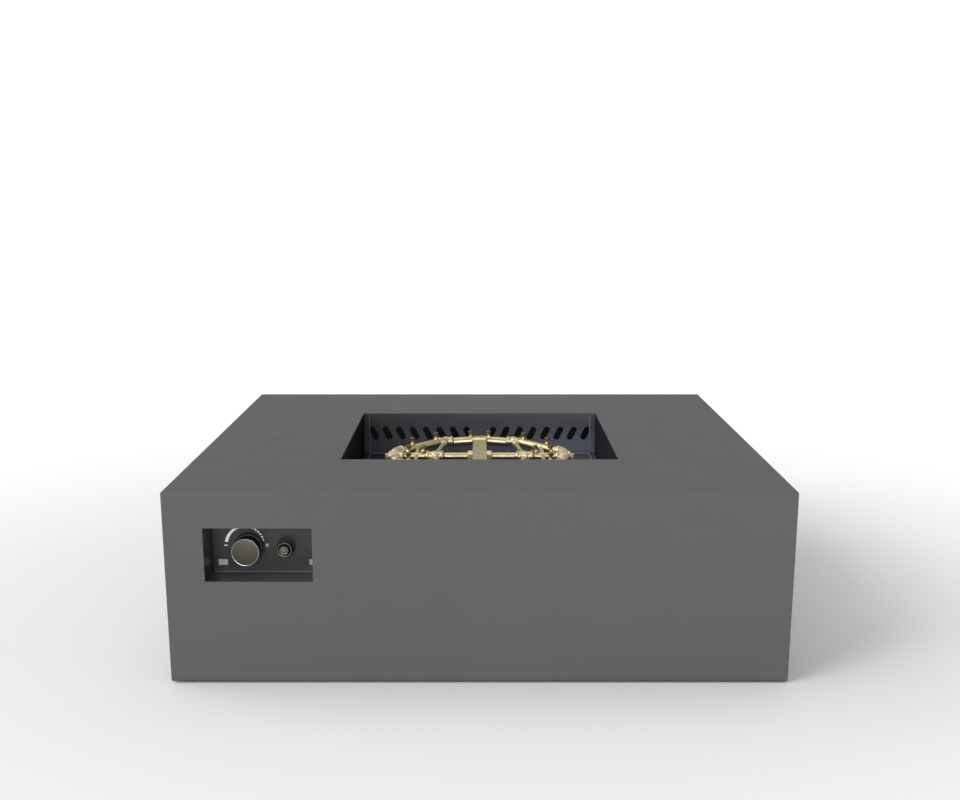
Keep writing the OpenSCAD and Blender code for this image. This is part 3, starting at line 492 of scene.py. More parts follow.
def solids(node):
    """The points of each separate solid of a CAD node."""
    mesh = frame["nodes"][node].data
    group = {}
    parent = []

    def root(i):
        while parent[i] != i:
            parent[i] = parent[parent[i]]
            i = parent[i]
        return i

    index = []
    for vertex in mesh.vertices:
        key = tuple(round(c, 5) for c in vertex.co)
        if key not in group:
            group[key] = len(parent)
            parent.append(len(parent))
        index.append(group[key])
    for polygon in mesh.polygons:
        first = root(index[polygon.vertices[0]])
        for v in polygon.vertices[1:]:
            parent[root(index[v])] = first
    found = {}
    for key, i in group.items():
        found.setdefault(root(i), []).append(key)
    shells = [np.array(points) for _, points in sorted(found.items())]
    return [s for s in shells if len(s) > 3]


class Rod:
    """Centre line of a long round solid: its middle, direction, half length and radius."""

    def __init__(self, points):
        self.middle = (points.max(0) + points.min(0)) / 2
        offsets = points - self.middle
        _, vectors = np.linalg.eigh(offsets.T @ offsets)
        axis = vectors[:, 2]
        axis = axis if axis[np.abs(axis).argmax()] > 0 else -axis
        along = offsets @ axis
        self.half = float((along.max() - along.min()) / 2)
        self.middle = Vector(self.middle + axis * (along.max() + along.min()) / 2)
        self.axis = Vector(axis)
        radial = offsets - np.outer(along, axis)
        self.radius = float(np.linalg.norm(radial, axis=1).max())


def centre_of(node):
    low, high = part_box(node)
    return (low + high) / 2


# ---------------------------------------------------------------- finishing CAD nodes


def finish_cad(node, material, edge):
    """Joins the CAD skin, rounds its edges by so many millimetres and gives it its material."""
    obj = frame["nodes"][node]
    obj.data.materials.clear()
    obj.data.materials.append(material)
    weld = obj.modifiers.new("weld", "WELD")
    weld.merge_threshold = 0.004 * MM
    dissolve = obj.modifiers.new("dissolve", "DECIMATE")
    dissolve.decimate_type = "DISSOLVE"
    dissolve.angle_limit = math.radians(0.5)
    if edge:
        bevel = obj.modifiers.new("bevel", "BEVEL")
        bevel.width = edge * MM
        bevel.segments = 2
        bevel.limit_method = "ANGLE"
        bevel.angle_limit = math.radians(38)
        bevel.use_clamp_overlap = True
        bevel.harden_normals = False
    normals = obj.modifiers.new("normals", "WEIGHTED_NORMAL")
    normals.keep_sharp = True


# Clean and tarnished brass, and heights where the coats' painted light and the soot change
BRASS, BRASS_SHADE = (0.60, 0.53, 0.305), (0.50, 0.435, 0.245)
PANEL_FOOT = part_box("control_panel")[0].z
TRAY_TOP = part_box("tray_wall_rear")[1].z
JET_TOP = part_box("burner_jets")[1].z

MATERIALS = {
    "casing_coat": powder_coat("casing_coat", (0.087, 0.0835, 0.088)),
    # Painted light: the recess coat is three times paler at and below the foot of the control panel, fading
    # out 3 mm above it.
    "recess_coat": powder_coat("recess_coat", (0.0245, 0.023, 0.0235), roughness=0.34, specular=0.4,
                               foot=(PANEL_FOOT + 0.0005, PANEL_FOOT + 0.003, (3.0, 2.9, 3.3))),
    "frame_coat": powder_coat("frame_coat", (0.040, 0.040, 0.043), roughness=0.5),
    # Painted light: the tray's rear and front walls grow 2.3 to 2.6 times paler from left to right, and
    # twice as pale from 30 mm to 85 mm below the rim downwards.
    "tray_coat": powder_coat("tray_coat", (0.023, 0.024, 0.027), roughness=0.42, specular=0.15,
                             right=(0.054, 0.058, 0.070),
                             foot=(TRAY_TOP - 0.085, TRAY_TOP - 0.03, (2.0, 2.0, 2.15))),
    # Painted light: the tray floor grows over three times paler from left to right.
    "tray_floor_coat": powder_coat("tray_floor_coat", (0.016, 0.0145, 0.020), roughness=0.42, specular=0.2,
                                   right=(0.052, 0.049, 0.068)),
    "pad_rubber": rubber("pad_rubber", (0.014, 0.014, 0.014)),
    "zinc": steel("zinc", (0.56, 0.56, 0.53)),
    "black_zinc": steel("black_zinc", (0.05, 0.05, 0.052), roughness=0.4),
    "stainless": steel("stainless", (0.50, 0.50, 0.49)),
    "brass": brass("brass", BRASS, BRASS_SHADE),
    "brass_pipe": brass("brass_pipe", BRASS, BRASS_SHADE, tint=0.2, roughness=0.34),
    "brass_hot": brass("brass_hot", (0.60, 0.52, 0.32), (0.50, 0.42, 0.26), tint=0.35, roughness=0.38),
    "brass_jet": brass("brass_jet", (0.60, 0.52, 0.29), (0.40, 0.33, 0.17), roughness=0.32,
                       soot=(JET_TOP - 0.013, JET_TOP - 0.004, (0.13, 0.10, 0.045))),
    "valve_brass": brass("valve_brass", (0.62, 0.50, 0.27), (0.36, 0.26, 0.12), roughness=0.4),
    "hose_steel": steel("hose_steel", (0.52, 0.51, 0.48), grain=(700, 700, 700)),
    "spring_steel": steel("spring_steel", (0.35, 0.35, 0.36)),
    "print_white": printed("print_white", (0.95, 0.95, 0.97), (0.75, 0.75, 0.78)),
    "knob_plastic": plastic("knob_plastic", (0.008, 0.008, 0.0085), roughness=0.5),
    "battery_sleeve": plastic("battery_sleeve", (0.05, 0.06, 0.08), roughness=0.25),
    "pilot_ceramic": ceramic("pilot_ceramic", (0.72, 0.70, 0.64)),
    "lead_silicone": rubber("lead_silicone", (0.28, 0.03, 0.02), roughness=0.5),
    "ring_chrome": turned_metal("ring_chrome", (0.085, 0.083, 0.08), centre_of("igniter_ring"), 900, 0.26),
    "knob_metal": turned_metal("knob_metal", (0.072, 0.065, 0.056), centre_of("knob_cap"), 2600, 0.36),
    "button_metal": turned_metal("button_metal", (0.150, 0.130, 0.116), centre_of("igniter_button"),
                                 1500, 0.32),
    "label_pale": label_stock("label_pale", (0.42, 0.42, 0.50), (0.09, 0.09, 0.12),
                              *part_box("panel_labels")),
}
# Painted shade: the tray's side walls take the tray's coat five to six times darker, and the right wall is
# painted about twice as pale as the left.
SHADED_SIDE_COAT = powder_coat("tray_side_painted_shade", (0.0045, 0.0045, 0.005), roughness=0.55, specular=0.06,
                        right=(0.009, 0.0095, 0.0125))
RIM_METAL = turned_metal("rim_metal", (0.34, 0.33, 0.31), centre_of("knob_cap"), 2600, 0.2)
# Painted highlight: the seam beads take a coat six to seven times paler than the tray and recess coats,
# fading paler still to the right with painted light.
SEAM_HIGHLIGHT_PAINT = powder_coat("seam_painted_highlight", (0.16, 0.16, 0.18), roughness=0.35, specular=0.4,
                        right=(0.25, 0.25, 0.30))
MARK_PAINT = printed("mark_paint", (0.085, 0.075, 0.070), (0.05, 0.045, 0.042))

# Edge rounding of the CAD nodes that are shown as they are, in millimetres
EDGES = {
    "outer_shell": 0.7, "control_box": 0.5, "control_panel": 0.4, "tray_floor": 0.8,
    "tray_wall_rear": 0.6, "tray_wall_front": 0.6, "tray_wall_left": 0.6, "tray_wall_right": 0.6,
    "burner_manifold": 1.2, "burner_ring_tees": 1.6, "dial_print": 0, "panel_labels": 0,
    "foot_pads": 0.4, "gas_valve": 0.8, "burner_supports": 0.4,
}


def dress_cad():
    """The record's slot names each node's material; the tray's side walls get the tray's coat darkened by
    painted shade.
    """
    slots = {s["node"]: s["material_slot"] for s in frame["record"]["subparts"]}
    for node in frame["nodes"]:
        side_wall = node in ("tray_wall_left", "tray_wall_right")
        finish_cad(node, SHADED_SIDE_COAT if side_wall else MATERIALS[slots[node]], EDGES.get(node, 0.35))


# ---------------------------------------------------------------- burner


def burner_pipes(name, node, slot, threaded=True, reach=0.0):
    """Replaces a node of straight pipes by bored pipes, longer by the reach at each end."""
    builder = Builder()
    for points in solids(node):
        rod = Rod(points)
        r, half = rod.radius, rod.half + reach
        bore = r * 0.72
        grip = 8 * MM
        cut = 3.6 * MM if threaded else 0
        profile = [(bore, -half), (r * 0.95, -half)]
        if threaded and half > grip + cut:
            profile += threads(-half + grip, -half + grip + cut, r, 1.2 * MM, 0.42 * MM)
            profile += [(r, -half + grip + cut + 0.4 * MM), (r, half - grip - cut - 0.4 * MM)]
            profile += threads(half - grip - cut, half - grip, r, 1.2 * MM, 0.42 * MM)
        else:
            profile += [(r, -half + 0.3 * MM), (r, half - 0.3 * MM)]
        profile += [(r * 0.95, half), (bore, half)]
        builder.add(*turned(profile, 40, ring=True), aim(rod.middle, rod.axis))
    piece(name, builder, MATERIALS[slot], replaces=[node], sharp=40)


JET_H = 18.4 * MM


def jet_shape():
    """One jet about +Z: waisted stem above its hexagon and a flared head with its orifice."""
    hex_h, jet_h = 4.4 * MM, JET_H
    body = [(0.0001, jet_h - 3.5 * MM), (1.5 * MM, jet_h - 3.5 * MM), (1.5 * MM, jet_h - 1.6 * MM),
            (3.3 * MM, jet_h - 1.4 * MM), (3.5 * MM, jet_h), (4.9 * MM, jet_h), (6.4 * MM, jet_h - 1.8 * MM),
            (6.5 * MM, jet_h - 5.4 * MM), (5.0 * MM, jet_h - 7.4 * MM), (4.1 * MM, jet_h - 8.0 * MM),
            (4.1 * MM, hex_h + 0.8 * MM), (4.5 * MM, hex_h - 0.3 * MM), (0.0001, hex_h - 0.3 * MM)]
    return softened(body, 0.45 * MM)


def make_jets(name, node):
    builder = Builder()
    shape = turned(jet_shape(), 36)
    collar = hexagon(6.0 * MM, 4.4 * MM, per_side=3)
    thread = turned([(3.0 * MM, -2 * MM), (3.0 * MM, 0.3 * MM)], 24)
    air_hole = turned(softened([(0.0001, 0), (1.35 * MM, 0), (1.35 * MM, 0.35 * MM), (0.85 * MM, 0.35 * MM),
                                (0.85 * MM, 0.1 * MM), (0.0001, 0.1 * MM)], 0.1 * MM), 16)
    for i, points in enumerate(solids(node)):
        rod = Rod(points)
        axis = rod.axis if rod.axis.z > 0 else -rod.axis
        foot = rod.middle + axis * (rod.half - JET_H)
        stand = aim(foot, axis, turn=0.9 * i)
        for part in (shape, collar, thread):
            builder.add(*part, stand)
        for k in range(4):
            spin = Matrix.Rotation(math.pi / 2 * k, 4, "Z")
            place = Matrix.Translation((4.05 * MM, 0, 7.6 * MM)) @ Matrix.Rotation(math.pi / 2, 4, "Y")
            builder.add(*air_hole, stand @ spin @ place)
    piece(name, builder, MATERIALS["brass_jet"], replaces=[node], sharp=35)


def make_plugs():
    """Square-headed brass plugs that close the two end tees."""
    builder = Builder()
    for points in solids("burner_plugs"):
        low, high = points.min(0), points.max(0)
        middle = (low + high) / 2
        side = 1 if middle[0] > 0 else -1
        radius = (high[2] - low[2]) / 2
        tip = Vector((high[0] if side > 0 else low[0], middle[1], middle[2]))
        length = high[0] - low[0]
        stand = aim(tip - X * side * length, X * side)
        head = 9 * MM
        profile = [(0.0001, 0), (radius * 0.94, 0)]
        shoulder = length - head
        profile += threads(1 * MM, shoulder, radius, 1.2 * MM, 0.4 * MM)
        profile += [(radius * 1.02, shoulder), (radius * 1.02, shoulder + 1.6 * MM),
                    (0.0001, shoulder + 1.6 * MM)]
        builder.add(*turned(profile, 40), stand)
        corners = [math.pi / 4 + k * math.pi / 2 + 0.12 * s for k in range(4) for s in (-1, 0, 1)]
        square = [(math.cos(a) * radius * 0.96, math.sin(a) * radius * 0.96) for a in corners]
        layers = [(0.98, shoulder + 1.2 * MM), (0.98, length - 1.2 * MM), (0.86, length)]
        builder.add(*prism(square, layers), stand)
    piece("end_plugs", builder, MATERIALS["brass_hot"], replaces=["burner_plugs"])


def forged(builder):
    """One blended skin round the shapes of a fitting, as points and faces."""
    mesh = builder.mesh("blank")
    blank = bpy.data.objects.new("blank", mesh)
    scene.collection.objects.link(blank)
    remesh = blank.modifiers.new("skin", "REMESH")
    remesh.mode = "VOXEL"
    remesh.voxel_size = 0.9 * MM
    smooth = blank.modifiers.new("smooth", "SMOOTH")
    smooth.iterations = 6
    graph = bpy.context.evaluated_depsgraph_get()
    skin = bpy.data.meshes.new_from_object(blank.evaluated_get(graph))
    points = [tuple(v.co) for v in skin.vertices]
    faces = [tuple(p.vertices) for p in skin.polygons]
    bpy.data.objects.remove(blank)
    bpy.data.meshes.remove(mesh)
    bpy.data.meshes.remove(skin)
    return points, faces


# Radii of the burner's pipes, its thin arms and the round middle of a fitting
PIPE_R, ARM_R, BALL_R = 8.5 * MM, 5.0 * MM, 12.2 * MM


def in_plan(degrees):
    """Level direction at an angle from +X."""
    angle = math.radians(degrees)
    return Vector((math.cos(angle), math.sin(angle), 0))


def beaded_end(inner, outer, width, rounding, segments):
    """Rounded ring at the mouth of a fitting, from height 0 to its width."""
    profile = [(inner, 0), (outer, 0), (outer, width), (inner, width)]
    return turned(softened(profile, rounding, ring=True), segments, ring=True)


def fitting_shapes(arms):
    """Forged body and separate crisp ends of a fitting; each arm is (degrees, reach, pipe radius, kind)."""
    body, ends = Builder(), Builder()
    half_ball = [(1, 0.2), (0.86, 0.62), (0.5, 0.94)]
    middle = [(r, -h) for r, h in reversed(half_ball)] + half_ball
    middle = [(r * BALL_R, h * BALL_R) for r, h in middle]
    body.add(*turned([(0.0001, -BALL_R), *middle, (0.0001, BALL_R)], 40))
    for degrees, reach, pipe, kind in arms:
        direction = in_plan(degrees)
        wall = pipe + (1.7 if kind == "slim" else 2.6) * MM
        inner_end = reach - 1 * MM
        body.add(*turned([(0.0001, 0), (wall, 0), (wall, inner_end), (0.0001, inner_end)], 40),
                 aim(Vector(), direction))
        if kind == "hex":
            width, shape = 6 * MM, hexagon(pipe + 5.3 * MM, 6 * MM, 0.06)
        elif kind == "bead":
            width, shape = 6 * MM, beaded_end(pipe * 0.9, pipe + 4 * MM, 6 * MM, 1.6 * MM, 48)
        else:
            width, shape = 4 * MM, beaded_end(pipe * 0.9, wall + 0.9 * MM, 4 * MM, 1.0 * MM, 40)
        ends.add(*shape, aim(direction * (reach - width), direction))
    return body, ends


def make_fittings(name, node, slot, place, arms, mirrors):
    """Replaces a node of like fittings by forged ones, one at each mirror image of the place."""
    body, ends = fitting_shapes(arms)
    skin = forged(body)
    builder = Builder()
    for mx, my in mirrors:
        matrix = Matrix.Diagonal((mx, my, 1, 1)) @ Matrix.Translation(place)
        builder.add(*skin, matrix)
        builder.add(ends.points, ends.faces, matrix)
    piece(name, builder, MATERIALS[slot], replaces=[node], sharp=38)


def make_elbows(place, arm_in, arm_out, reach, mirrors):
    """Bent ring elbows: one smooth bend between two beaded ends."""
    a, b = in_plan(arm_in), in_plan(arm_out)
    p, q, r, s = a * reach * 0.65, a * reach * 0.2, b * reach * 0.2, b * reach * 0.65
    path = [a * reach, p]
    for t in (k / 10 for k in range(1, 11)):
        path.append(p * (1 - t) ** 3 + q * 3 * t * (1 - t) ** 2 + r * 3 * t * t * (1 - t) + s * t ** 3)
    path.append(b * (reach - 1 * MM))
    bend = swept(path, lambda i: PIPE_R + 3.2 * MM, 40)
    bead = beaded_end(PIPE_R, PIPE_R + 4.2 * MM, 6 * MM, 1.8 * MM, 48)
    builder = Builder()
    for mx, my in mirrors:
        matrix = Matrix.Diagonal((mx, my, 1, 1)) @ Matrix.Translation(place)
        builder.add(*bend, matrix)
        for direction in (a, b):
            builder.add(*bead, matrix @ aim(direction * (reach - 6 * MM), direction))
    piece("ring_elbows", builder, MATERIALS["brass_hot"], replaces=["burner_elbows"], sharp=45)


def pipe_meetings():
    """Where the pipe axes of the burner's right rear quarter meet: cross, corner, side bend and end."""

    def rods(node):
        every = [Rod(points) for points in solids(node)]
        return sorted((r for r in every if r.middle.x > 0 and r.middle.y > 0), key=lambda r: r.middle.x)

    straight, slanted = (r.middle for r in rods("burner_ring_pipes"))
    arm = rods("burner_arms")[0]
    side_x = rods("burner_side_pipes")[0].middle.x
    lean = arm.axis.x / arm.axis.y
    corner = Vector((arm.middle.x + (straight.y - arm.middle.y) * lean, straight.y, straight.z))
    cross = Vector((arm.middle.x - arm.middle.y * lean, 0, straight.z))
    side = corner + (slanted - corner) * ((side_x - corner.x) / (slanted.x - corner.x))
    return cross, corner, side, Vector((side_x, 0, straight.z))


def make_fitting_sets():
    cross, corner, side, end = pipe_meetings()
    slant = math.degrees(math.atan2(side.y - corner.y, side.x - corner.x))
    arm = math.degrees(math.atan2(cross.y - corner.y, cross.x - corner.x))
    both = [(-1, 1), (1, 1)]
    four = [(mx, my) for mx in (-1, 1) for my in (-1, 1)]
    make_fittings("arm_crosses", "burner_crosses", "brass", cross,
                  [(0, 20 * MM, PIPE_R, "hex"), (180, 20 * MM, PIPE_R, "hex"),
                   (180 + arm, 22 * MM, ARM_R, "hex"), (180 - arm, 22 * MM, ARM_R, "hex")], both)
    make_fittings("ring_corners", "burner_corners", "brass_hot", corner,
                  [(180, 18 * MM, PIPE_R, "bead"), (slant, 24 * MM, PIPE_R, "bead"),
                   (arm, 34 * MM, ARM_R, "slim")], four)
    make_fittings("end_tees", "burner_end_tees", "brass_hot", end,
                  [(180, 20 * MM, PIPE_R, "hex"), (90, 20 * MM, PIPE_R, "bead"),
                   (-90, 20 * MM, PIPE_R, "bead"), (0, 14 * MM, PIPE_R, "bead")], both)
    make_elbows(side, -90, 180 + slant, 20 * MM, four)


def seam(start, end, radius):
    """Thin straight bead between two points."""
    return swept([start, (start + end) / 2, end], lambda i: radius, 8)


def make_tray_seam_highlights():
    """Pale beads where the loose floor meets the tray walls, and in the two rear corners: beads at real
    joints, coloured as painted highlights.
    """
    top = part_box("tray_floor")[1].z
    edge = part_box("tray_wall_rear")[0].y - 0.2 * MM
    radius, height = 0.9 * MM, 96 * MM
    builder = Builder()
    for sx in (-1, 1):
        corner = Vector((sx * edge, edge, top))
        builder.add(*seam(Vector((sx * edge, -edge, top)), corner, radius))
        builder.add(*seam(corner, corner + Z * height, radius * 0.8))
    for sy in (-1, 1):
        builder.add(*seam(Vector((-edge, sy * edge, top)), Vector((edge, sy * edge, top)), radius))
    piece("tray_seam_highlights", builder, SEAM_HIGHLIGHT_PAINT)


def make_burner():
    make_fitting_sets()
    make_tray_seam_highlights()
    burner_pipes("cross_pipes", "burner_cross_pipes", "brass_pipe")
    burner_pipes("ring_pipes", "burner_ring_pipes", "brass_pipe")
    burner_pipes("side_pipes", "burner_side_pipes", "brass_pipe")
    burner_pipes("thin_arms", "burner_arms", "brass_pipe")
    burner_pipes("thin_links", "burner_links", "brass_pipe", threaded=False, reach=3 * MM)
    make_jets("upright_jets", "burner_jets")
    make_jets("leaning_jets", "tilted_jets")
    make_plugs()


# ---------------------------------------------------------------- knob and igniter


def make_knob():
    """Ribbed knob with its skirt and a recess behind, pointer ridge, and metal disc in a bright rim."""
    low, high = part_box("knob_body")
    centre, back = (low + high) / 2, high.y
    skirt_r, skirt_h, skirt_bore = (high.x - low.x) / 2, 5 * MM, 16.4 * MM
    grip_r, depth = 24.5 * MM, high.y - low.y
    stand = aim(Vector((centre.x, back, centre.z)), -Y)
    builder = Builder()
    skirt = softened([(skirt_bore, 0), (skirt_r, 0), (skirt_r, skirt_h - 1.4 * MM),
                      (skirt_r - 1.8 * MM, skirt_h), (skirt_bore, skirt_h)], 0.5 * MM, ring=True)
    builder.add(*turned(skirt, 96, ring=True), stand)
    ribs = 60
    outline = []
    for i in range(ribs):
        for k, share in ((0, 1.0), (0.18, 1.02), (0.36, 1.0), (0.55, 0.955), (0.8, 0.955)):
            angle = 2 * math.pi * (i + k) / ribs
            outline.append((grip_r * share * math.cos(angle), grip_r * share * math.sin(angle)))
    # Bore of the spindle and recess over the nut as shares of the grip, then the grip from back to front
    bore, hub, hub_depth = 0.19, 0.66, 16 * MM
    layers = [(bore, depth - 4.5 * MM), (bore, hub_depth), (hub, hub_depth), (hub, skirt_h - 0.8 * MM),
              (0.97, skirt_h - 0.8 * MM), (1, skirt_h + 0.6 * MM), (1, depth - 1.4 * MM), (0.96, depth)]
    builder.add(*prism(outline, layers), stand)
    piece("knob_grip", builder, MATERIALS["knob_plastic"], body="knob",
          replaces=["knob_body"], sharp=40)

    half_l, half_w, ridge, root = 2.1 * MM, 0.9 * MM, 1.1 * MM, 0.3 * MM
    x, y, z = centre.x + (grip_r + skirt_r) / 2 + 0.3 * MM, back - skirt_h, centre.z
    corners = [(x + sx * half_l, z + sz * half_w) for sx, sz in ((-1, -1), (1, -1), (1, 1), (-1, 1))]
    points = [(px, py, pz) for py in (y + root, y - ridge) for px, pz in corners]
    faces = [(0, 1, 2, 3), (7, 6, 5, 4), (0, 4, 5, 1), (1, 5, 6, 2), (2, 6, 7, 3), (3, 7, 4, 0)]
    piece("knob_mark", Builder().add(points, faces), MARK_PAINT, body="knob")

    low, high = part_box("knob_cap")
    centre = (low + high) / 2
    radius, thick = (high.x - low.x) / 2, high.y - low.y
    inner_r = radius - 2.2 * MM
    disc_r, disc_h = inner_r + 0.5 * MM, thick - 0.25 * MM
    stand = aim(Vector((centre.x, high.y, centre.z)), -Y)
    disc = softened([(0.0001, 0.1 * MM), (disc_r, 0.1 * MM), (disc_r, disc_h), (0.0001, disc_h)], 0.1 * MM)
    builder = Builder().add(*turned(disc, 128), stand)
    piece("knob_disc", builder, MATERIALS["knob_metal"], body="knob", replaces=["knob_cap"])
    rim = softened([(inner_r, 0), (radius, 0), (radius, thick - 1.1 * MM), (radius - 1.0 * MM, thick),
                    (inner_r, thick - 0.3 * MM)], 0.3 * MM, ring=True)
    builder = Builder().add(*turned(rim, 128, ring=True), stand)
    piece("knob_rim", builder, RIM_METAL, body="knob")


def make_igniter():
    """Bright collar, grooved push button, and black base with its barrel behind the panel."""
    bore = 10.6 * MM
    low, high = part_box("igniter_ring")
    centre = (low + high) / 2
    radius, length = (high.x - low.x) / 2, high.y - low.y
    sleeve_r, collar_r = radius - 0.8 * MM, radius + 1.0 * MM
    profile = [(bore, 0), (sleeve_r, 0), (sleeve_r, length - 7 * MM), (collar_r, length - 6 * MM),
               (collar_r, length - 1.6 * MM), (radius - 0.4 * MM, length),
               (bore + 1.6 * MM, length - 0.2 * MM), (bore, length - 1.8 * MM)]
    builder = Builder().add(*turned(softened(profile, 0.4 * MM, ring=True), 96, ring=True),
                            aim(Vector((centre.x, high.y, centre.z)), -Y))
    piece("igniter_collar", builder, MATERIALS["ring_chrome"], replaces=["igniter_ring"])

    low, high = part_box("igniter_button")
    radius, length = (high.x - low.x) / 2, high.y - low.y
    hollow_r, roof = 7.5 * MM, length - 6 * MM
    profile = [(0.0001, roof), (hollow_r, roof), (hollow_r, 0), (radius - 0.3 * MM, 0), (radius, 0.3 * MM),
               (radius, length - 1.2 * MM), (radius - 1.2 * MM, length)]
    for groove in (7.6 * MM, 5.6 * MM, 3.6 * MM):
        profile += [(groove + 0.5 * MM, length), (groove, length - 0.45 * MM), (groove - 0.5 * MM, length)]
    profile += [(0.0001, length)]
    builder = Builder().add(*turned(softened(profile, 0.15 * MM, 2), 96),
                            aim(Vector((centre.x, high.y, centre.z)), -Y))
    piece("igniter_cap", builder, MATERIALS["button_metal"], body="igniter_push_button",
          replaces=["igniter_button"])

    low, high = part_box("igniter_housing")
    radius, length = (high.x - low.x) / 2, high.y - low.y
    base, barrel, core, tail = 4 * MM, 13.5 * MM, 8 * MM, 9 * MM
    profile = [(bore, base), (bore, -8 * MM), (core, -8 * MM), (core, base + tail - length),
               (barrel, base + 6 * MM - length), (barrel, 0), (radius, 0), (radius, base - 1 * MM),
               (radius - 1.2 * MM, base)]
    builder = Builder().add(*turned(softened(profile, 0.4 * MM, ring=True), 96, ring=True),
                            aim(Vector((centre.x, low.y + base, centre.z)), -Y))
    cap = [(barrel - 0.6 * MM, 0), (barrel - 0.6 * MM, 2.8 * MM), (3 * MM, 3.2 * MM), (3 * MM, tail)]
    builder.add(*turned(cap, 48), aim(Vector((centre.x, high.y - tail, centre.z)), Y))
    piece("igniter_base", builder, MATERIALS["knob_plastic"], replaces=["igniter_housing"])


def make_screws():
    """Pan-head screws of the control panel."""
    builder = Builder()
    for points in solids("panel_screws"):
        low, high = Vector(points.min(0)), Vector(points.max(0))
        r, head, shank_r, shank_l = (high.x - low.x) / 2, 0.9 * MM, 2 * MM, 8 * MM
        profile = [(0.0001, -shank_l), (shank_r, -shank_l), (shank_r, 0), (r, 0), (r, 0.35 * MM),
                   (r * 0.75, head), (0.0001, head)]
        middle = (low + high) / 2
        stand = aim(Vector((middle.x, low.y + head, middle.z)), -Y, 0.4)
        builder.add(*turned(softened(profile, 0.15 * MM), 32), stand)
    piece("panel_screw_set", builder, MATERIALS["black_zinc"], replaces=["panel_screws"])


def make_panel_seam_highlight():
    """Pale bead along the foot of the control panel: a bead at a real joint, coloured as a painted
    highlight.
    """
    low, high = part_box("control_panel")
    height = low.z + 0.2 * MM
    bead = seam(Vector((low.x, low.y, height)), Vector((high.x, low.y, height)), 0.8 * MM)
    piece("panel_seam_highlight", Builder().add(*bead), SEAM_HIGHLIGHT_PAINT)


# ---------------------------------------------------------------- hoses, leads and springs

# Routes of the hoses and leads in metres; their ends line up with the fittings
VALVE_X, VALVE_Z = centre_of("thrust_washer").xz
IGNITER_X = centre_of("igniter_ring").x
INLET_X = centre_of("gas_inlet_fitting").x

BURNER_ROUTE = [(VALVE_X, -0.440, VALVE_Z), (VALVE_X, -0.425, VALVE_Z), (VALVE_X, -0.405, VALVE_Z),
                (-0.448, -0.352, 0.242), (-0.418, -0.292, 0.212), (-0.362, -0.228, 0.178),
                (-0.285, -0.162, 0.148), (-0.198, -0.100, 0.122), (-0.110, -0.048, 0.104),
                (-0.048, -0.016, 0.102), (-0.012, 0, 0.118), (0, 0, 0.145), (0, 0, 0.163), (0, 0, 0.180)]
SUPPLY_ROUTE = [(INLET_X, 0, 0.105), (INLET_X, 0, 0.118), (INLET_X, 0, 0.132), (INLET_X, -0.025, 0.174),
                (INLET_X, -0.090, 0.206), (INLET_X, -0.180, 0.224), (INLET_X, -0.280, 0.238),
                (INLET_X, -0.370, 0.250), (-0.548, -0.425, 0.255), (-0.538, -0.460, VALVE_Z),
                (-0.518, -0.473, VALVE_Z), (-0.504, -0.473, VALVE_Z), (-0.490, -0.473, VALVE_Z)]
SPARK_ROUTE = [(IGNITER_X, -0.452, VALVE_Z), (IGNITER_X, -0.440, VALVE_Z), (IGNITER_X, -0.425, VALVE_Z),
               (-0.375, -0.395, 0.246), (-0.325, -0.345, 0.240), (-0.240, -0.262, 0.236),
               (-0.150, -0.180, 0.234), (-0.085, -0.128, 0.232), (-0.063, -0.113, 0.240),
               (-0.060, -0.110, 0.256), (-0.060, -0.110, 0.266), (-0.060, -0.110, 0.275)]
PROBE_ROUTE = [(VALVE_X, -0.464, 0.230), (VALVE_X, -0.464, 0.222), (VALVE_X, -0.464, 0.214),
               (-0.446, -0.452, 0.204), (-0.400, -0.405, 0.202), (-0.320, -0.330, 0.202),
               (-0.220, -0.235, 0.204), (-0.130, -0.150, 0.208), (-0.087, -0.113, 0.228),
               (-0.084, -0.110, 0.248), (-0.084, -0.110, 0.262), (-0.084, -0.110, 0.275)]


def corrugated_hose(name, route, node, radius=7.9 * MM, pitch=3.4 * MM):
    """Corrugated steel hose with a smooth cuff and a hexagonal nut at each end."""
    path = even(route_curve(route, 16), pitch / 4)
    waves = (1.0, 0.93, 0.84, 0.93)
    cuff = 6      # path steps

    def radius_at(i):
        if i < cuff or i > len(path) - 1 - cuff:
            return radius * 0.9
        return radius * waves[i % 4]

    builder = Builder().add(*swept(path, radius_at, 20))
    piece(name, builder, MATERIALS["hose_steel"], replaces=[node], sharp=70)
    nuts = Builder()
    nut_h, collar_r, collar_h = 12 * MM, 9.4 * MM, 6 * MM
    collar = turned(softened([(0.0001, 0), (collar_r, 0), (collar_r, 4 * MM), (8.3 * MM, collar_h),
                              (0.0001, collar_h)], 0.5 * MM), 40)
    for end, inner in ((path[0], path[cuff]), (path[-1], path[-1 - cuff])):
        direction = (inner - end).normalized()
        nuts.add(*hexagon(11 * MM, nut_h, per_side=4), aim(end + direction * 0.5 * MM, direction))
        nuts.add(*collar, aim(end + direction * nut_h, direction))
    piece(name + "_nuts", nuts, MATERIALS["brass"])


def make_leads():
    builder = Builder()
    builder.add(*swept(even(route_curve(SPARK_ROUTE, 12), 4 * MM), lambda i: 2.0 * MM, 14))
    builder.add(*swept(even(route_curve(PROBE_ROUTE, 12), 4 * MM), lambda i: 1.5 * MM, 14))
    piece("pilot_wires", builder, MATERIALS["lead_silicone"], replaces=["pilot_leads"])


